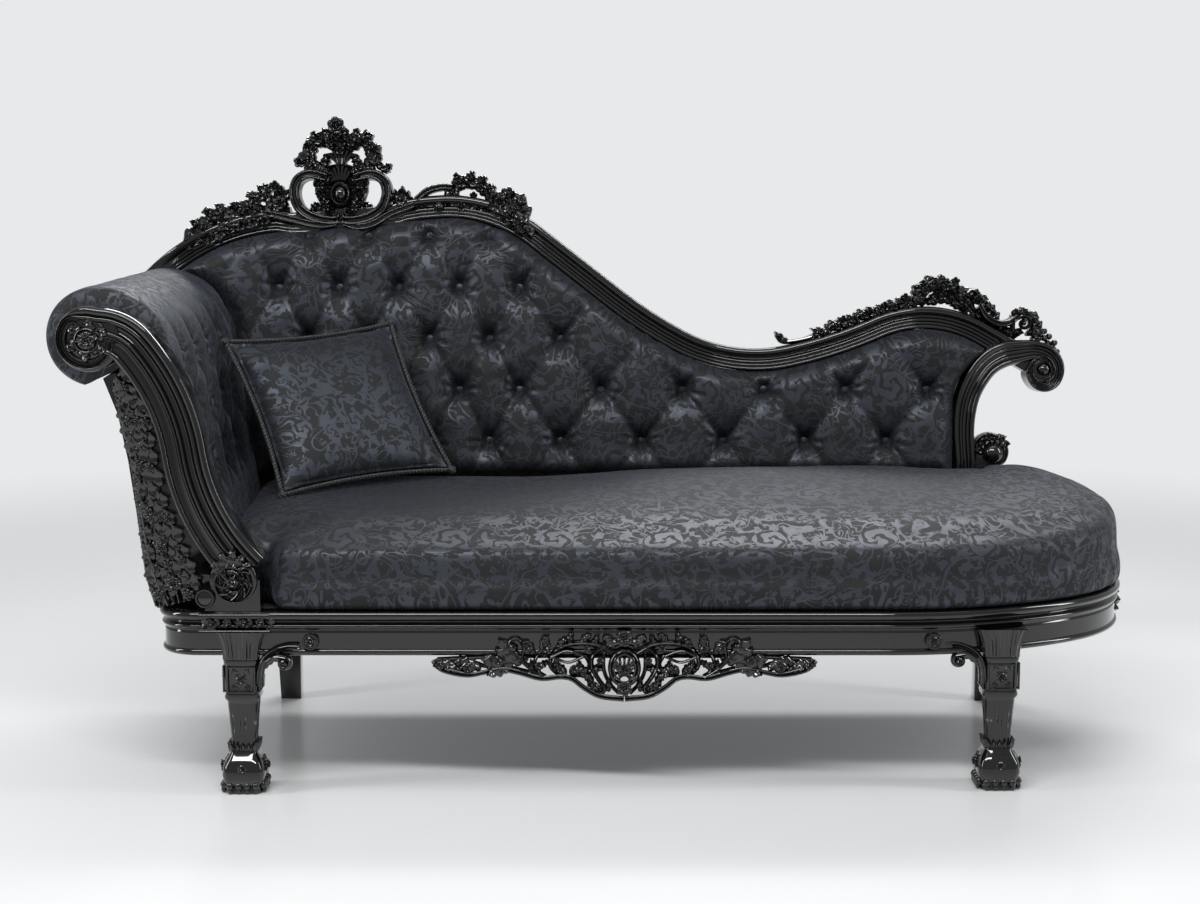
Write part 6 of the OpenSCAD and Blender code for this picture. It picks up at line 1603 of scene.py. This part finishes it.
def make_end_cartouches():
    """Small carved cartouches on the round end and on the left end."""
    bm = bmesh.new()
    for x, turn in ((962.0, 90), (-796.0, -90)):
        part = bmesh.new()
        disc(part, (0, 0), 25.0, -6.0, 3.0, 2.0)
        for k in range(8):
            leaf(part, 5 * math.cos(k * math.pi / 4), 5 * math.sin(k * math.pi / 4), 25, 45 * k, 30, 0.32, 3,
                 high=4, low=-1, lift=4, curl=3)
        rose(part, 0, 0, 10, 7, 6)
        for side in (-1, 1):
            leaf(part, side * 18, 0, 44, 0 if side > 0 else 180, side * 10, 0.24, 3, high=1, low=-4, lift=4,
                curl=2)
            leaf(part, side * 16, 8, 34, 30 if side > 0 else 150, -side * 30, 0.24, 3, high=1, low=-4, lift=4,
                 curl=2)
            leaf(part, side * 16, -8, 34, -30 if side > 0 else 210, side * 30, 0.24, 3, high=1, low=-4,
                lift=4,
                 curl=2)
        at = (Matrix.Translation((x * MM, -0.021, 0.284)) @ Matrix.Rotation(math.radians(turn), 4, "Z")
              @ Matrix.Rotation(math.pi / 2, 4, "X") @ Matrix.Scale(MM, 4))
        bmesh.ops.transform(part, matrix=at, verts=part.verts)
        mesh = bpy.data.meshes.new("cartouche")
        part.to_mesh(mesh)
        part.free()
        bm.from_mesh(mesh)
    carved("end_cartouches_carved", "end_cartouches", bm, Matrix.Identity(4))


def make_cornice_band():
    """Carved leaves and roses along the cornice over the left leg."""
    bm = bmesh.new()
    for k in range(13):
        x = -716 + 9.6 * k
        leaf(bm, x, 296 + 5 * (k % 2), 24, 60 + 60 * (k % 2), 40 - 80 * (k % 2), 0.32, 2, high=3, low=-2,
            lift=4,
             curl=2)
        if k % 3 == 1:
            rose(bm, x + 4, 308, 7, 7)
    for v in (293, 322):
        stem(bm, [(-722, v), (-660, v), (-598, v)], 2.0, 2.0, d=8, flat=1.2)
    carved("cornice_band_carved", None, bm, on_front(-374))


def twisted(bm, line, outs, up, r, strand_r, turns_count, sides=6):
    """Two strands wound round a closed line."""
    n = len(line)
    for strand in range(2):
        path = []
        for i, (at, out) in enumerate(zip(line, outs)):
            a = i * 2 * math.pi * turns_count / n + strand * math.pi
            path.append(at + (out * math.cos(a) + up * math.sin(a)) * r)
        run_along(bm, path, strand_r, sides, up=up, closed=True)


def make_pillow_cord():
    """A cord of two strands along the seam, with a knot at each corner."""
    steps = 96
    seam = []
    for q in range(4):
        for k in range(steps):
            t = -1 + 2 * k / steps
            u, w = ((t, -1), (1, t), (-t, 1), (-1, -t))[q]
            seam.append(pillow_point(u, w, 0))
    n, up = len(seam), Vector((0, 1, 0))
    outs = []
    for i in range(n):
        way = (seam[(i + 1) % n] - seam[i - 1]).normalized()
        outs.append(Vector((way.z, 0, -way.x)).normalized())
    line = [at + out * 5.3 * MM for at, out in zip(seam, outs)]
    bm = bmesh.new()
    twisted(bm, line, outs, up, 2.3 * MM, 2.8 * MM, 92)
    for q in range(4):
        at, out = line[q * steps], outs[q * steps]
        for turn in range(3):
            lean = turn * math.pi / 3
            e1 = out * math.cos(lean) + up * math.sin(lean)
            e2 = Vector((-out.z, 0, out.x))
            ring = [at + out * 3 * MM + (e1 * math.cos(a) + e2 * math.sin(a)) * 5.6 * MM
                    for a in (2 * math.pi * k / 14 for k in range(14))]
            run_along(bm, ring, 3.0 * MM, 6, up=e1.cross(e2), closed=True)
    bmesh.ops.recalc_face_normals(bm, faces=bm.faces)
    bmesh.ops.transform(bm, matrix=pillow_place, verts=bm.verts)
    return piece("pillow_cord_twisted", bm, "satin_cord", body="pillow", replaces=("pillow_cord",),
        smooth=180)


def button(bm, place, r=10.5):
    """A covered button: a dome that turns in under its edge."""
    dome = bmesh.ops.create_uvsphere(bm, u_segments=16, v_segments=8, radius=1.0)["verts"]
    for v in dome:
        low = v.co.z < 0
        wide = r * (0.9 if low else 1.0)
        v.co = Vector((v.co.x * wide, v.co.y * wide, v.co.z * (4.5 if low else 5.0)))
    bmesh.ops.transform(bm, matrix=place, verts=dome)


def make_buttons():
    bm = bmesh.new()
    for x, v in BUTTONS:
        button(bm, on_back @ Matrix.Translation((x, v, back_height(x, v) + 3.0)))
    flat = on_back.inverted()
    made = piece("back_buttons_covered", bm, "damask", replaces=("back_buttons",), smooth=180)
    cloth_map(made, lambda co: ((flat @ co).x * MM, (flat @ co).y * MM))
    bm = bmesh.new()
    for s, y in ARM_BUTTONS:
        x, z, a = arm_line(s, -20.8 + 6)
        button(bm, Matrix.Translation(Vector((x, y, z)) * MM)
               @ Matrix.Rotation(math.pi / 2 - a, 4, "Y") @ Matrix.Scale(MM, 4))
    made = piece("arm_buttons_covered", bm, "damask", replaces=("arm_buttons",), smooth=180)
    cloth_map(made, lambda co: (co.y, co.z))


def make_covers():
    """Flat covers on the outer side of the arm and on the back, drawn tight."""
    back = on_back.inverted()
    for node, name, axis in (("back_outer_cover", "back_cover", 0), ("arm_outer_cover", "arm_cover", 1)):
        bm = solid_of(node)
        bmesh.ops.dissolve_limit(bm, angle_limit=math.radians(1), use_dissolve_boundaries=False,
                                 verts=bm.verts, edges=bm.edges)
        low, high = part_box(node)
        for axis_cut in (axis, 2):
            at = low[axis_cut] + 0.03
            while at < high[axis_cut] - 0.004:
                point, normal = Vector(), Vector()
                point[axis_cut], normal[axis_cut] = at, 1
                bmesh.ops.bisect_plane(bm, geom=bm.verts[:] + bm.edges[:] + bm.faces[:], dist=1e-6,
                                       plane_co=point, plane_no=normal)
                at += 0.03
        made = piece(name, bm, "damask", replaces=(node,), smooth=30)
        if axis == 0:
            cloth_map(made, lambda co: (-(back @ co).x * MM, (back @ co).y * MM))
        else:
            cloth_map(made, lambda co: (-co.y, co.z))


def finish_plain_wood():
    """The plain back legs and the rear post keep their solids' shape."""
    for name in ("back_left_leg", "back_right_leg", "arm_rear_post"):
        piece(name + "_lacquered", eased(solid_of(name)), "lacquered_wood", replaces=(name,), smooth=40)


def finish_hidden_nodes():
    """What only shows from below or behind keeps its solid, with the right finish."""
    for names, slot in (
            (("cross_rails", "leg_blocks", "back_bottom_rail", "back_board", "arm_roll_core", "arm_board"),
             "inner_wood"),
            (("cross_webbing", "long_webbing"), "jute_webbing"),
            (("dust_cover",), "cambric"),
            (("leg_bolts",), "bolt_steel")):
        for name in names:
            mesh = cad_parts[name].data
            mesh.materials.clear()
            mesh.materials.append(FINISHES[slot])


def make_stage():
    bm = bmesh.new()
    bmesh.ops.create_grid(bm, x_segments=40, y_segments=40, size=14.0)
    mesh = bpy.data.meshes.new("floor")
    bm.to_mesh(mesh)
    bm.free()
    floor = bpy.data.objects.new("floor", mesh)
    floor.data.materials.append(pale_floor())
    bpy.context.scene.collection.objects.link(floor)
    world = bpy.data.worlds.new("studio")
    bpy.context.scene.world = world
    world.use_nodes = True
    nodes, links = world.node_tree.nodes, world.node_tree.links
    nodes.clear()
    light = nodes.new("ShaderNodeBackground")
    light.inputs["Color"].default_value = (0.95, 0.97, 1.0, 1.0)
    light.inputs["Strength"].default_value = 0.2
    seen = nodes.new("ShaderNodeBackground")
    seen.inputs["Color"].default_value = BACKDROP
    seen.inputs["Strength"].default_value = 1.0
    ray = nodes.new("ShaderNodeLightPath")
    either = nodes.new("ShaderNodeMath")
    either.operation, either.use_clamp = "ADD", True
    both = nodes.new("ShaderNodeMath")
    both.operation, both.use_clamp = "ADD", True
    links.new(ray.outputs["Is Camera Ray"], either.inputs[0])
    links.new(ray.outputs["Is Transmission Ray"], either.inputs[1])
    links.new(either.outputs[0], both.inputs[0])
    part = nodes.new("ShaderNodeMath")
    part.operation = "MULTIPLY"
    part.inputs[1].default_value = 0.3
    links.new(ray.outputs["Is Glossy Ray"], part.inputs[0])
    links.new(part.outputs[0], both.inputs[1])
    mix = nodes.new("ShaderNodeMixShader")
    links.new(both.outputs[0], mix.inputs[0])
    links.new(light.outputs[0], mix.inputs[1])
    links.new(seen.outputs[0], mix.inputs[2])
    out = nodes.new("ShaderNodeOutputWorld")
    links.new(mix.outputs[0], out.inputs[0])


set_camera()
make_stage()
lamp("overhead", (0.2, -0.6, 3.4), (0, 0, 0.3), 3.4, 16, 1.2)
lamp("front_softbox", (-0.6, -2.3, 3.0), (-0.1, 0, 0.6), 3.2, 90, 0.4)
lamp("back_softbox", (0.3, 1.9, 2.6), (0, 0.2, 0.6), 3.2, 66, 0.4)
lamp("left_softbox", (-2.9, -0.9, 1.5), (-0.6, 0, 0.6), 0.3, 26, 1.8)
lamp("right_softbox", (3.0, -0.6, 1.6), (0.6, 0, 0.6), 0.35, 24, 1.8)
finish_plain_wood()
make_top_rail()
make_c_scroll()
make_lower_scroll()
make_front_post()
make_seat_rails()
make_front_leg("front_left_leg_carved", "front_left_leg", -650.0, -355.0)
make_front_leg("front_right_leg_carved", "front_right_leg", 693.0, -332.9)
make_brackets()
make_rail_rosettes()
make_apron()
make_cornice_band()
make_end_cartouches()
make_crest_loops()
make_crest_cartouche()
make_crest_crown()
make_left_garland()
make_right_garland()
make_end_garland()
make_volute_rosette()
make_foot_swirl()
make_front_panel()
finish_hidden_nodes()
make_back_pad()
make_arm_pad()
make_seat()
make_pillow()
make_pillow_cord()
make_buttons()
make_covers()
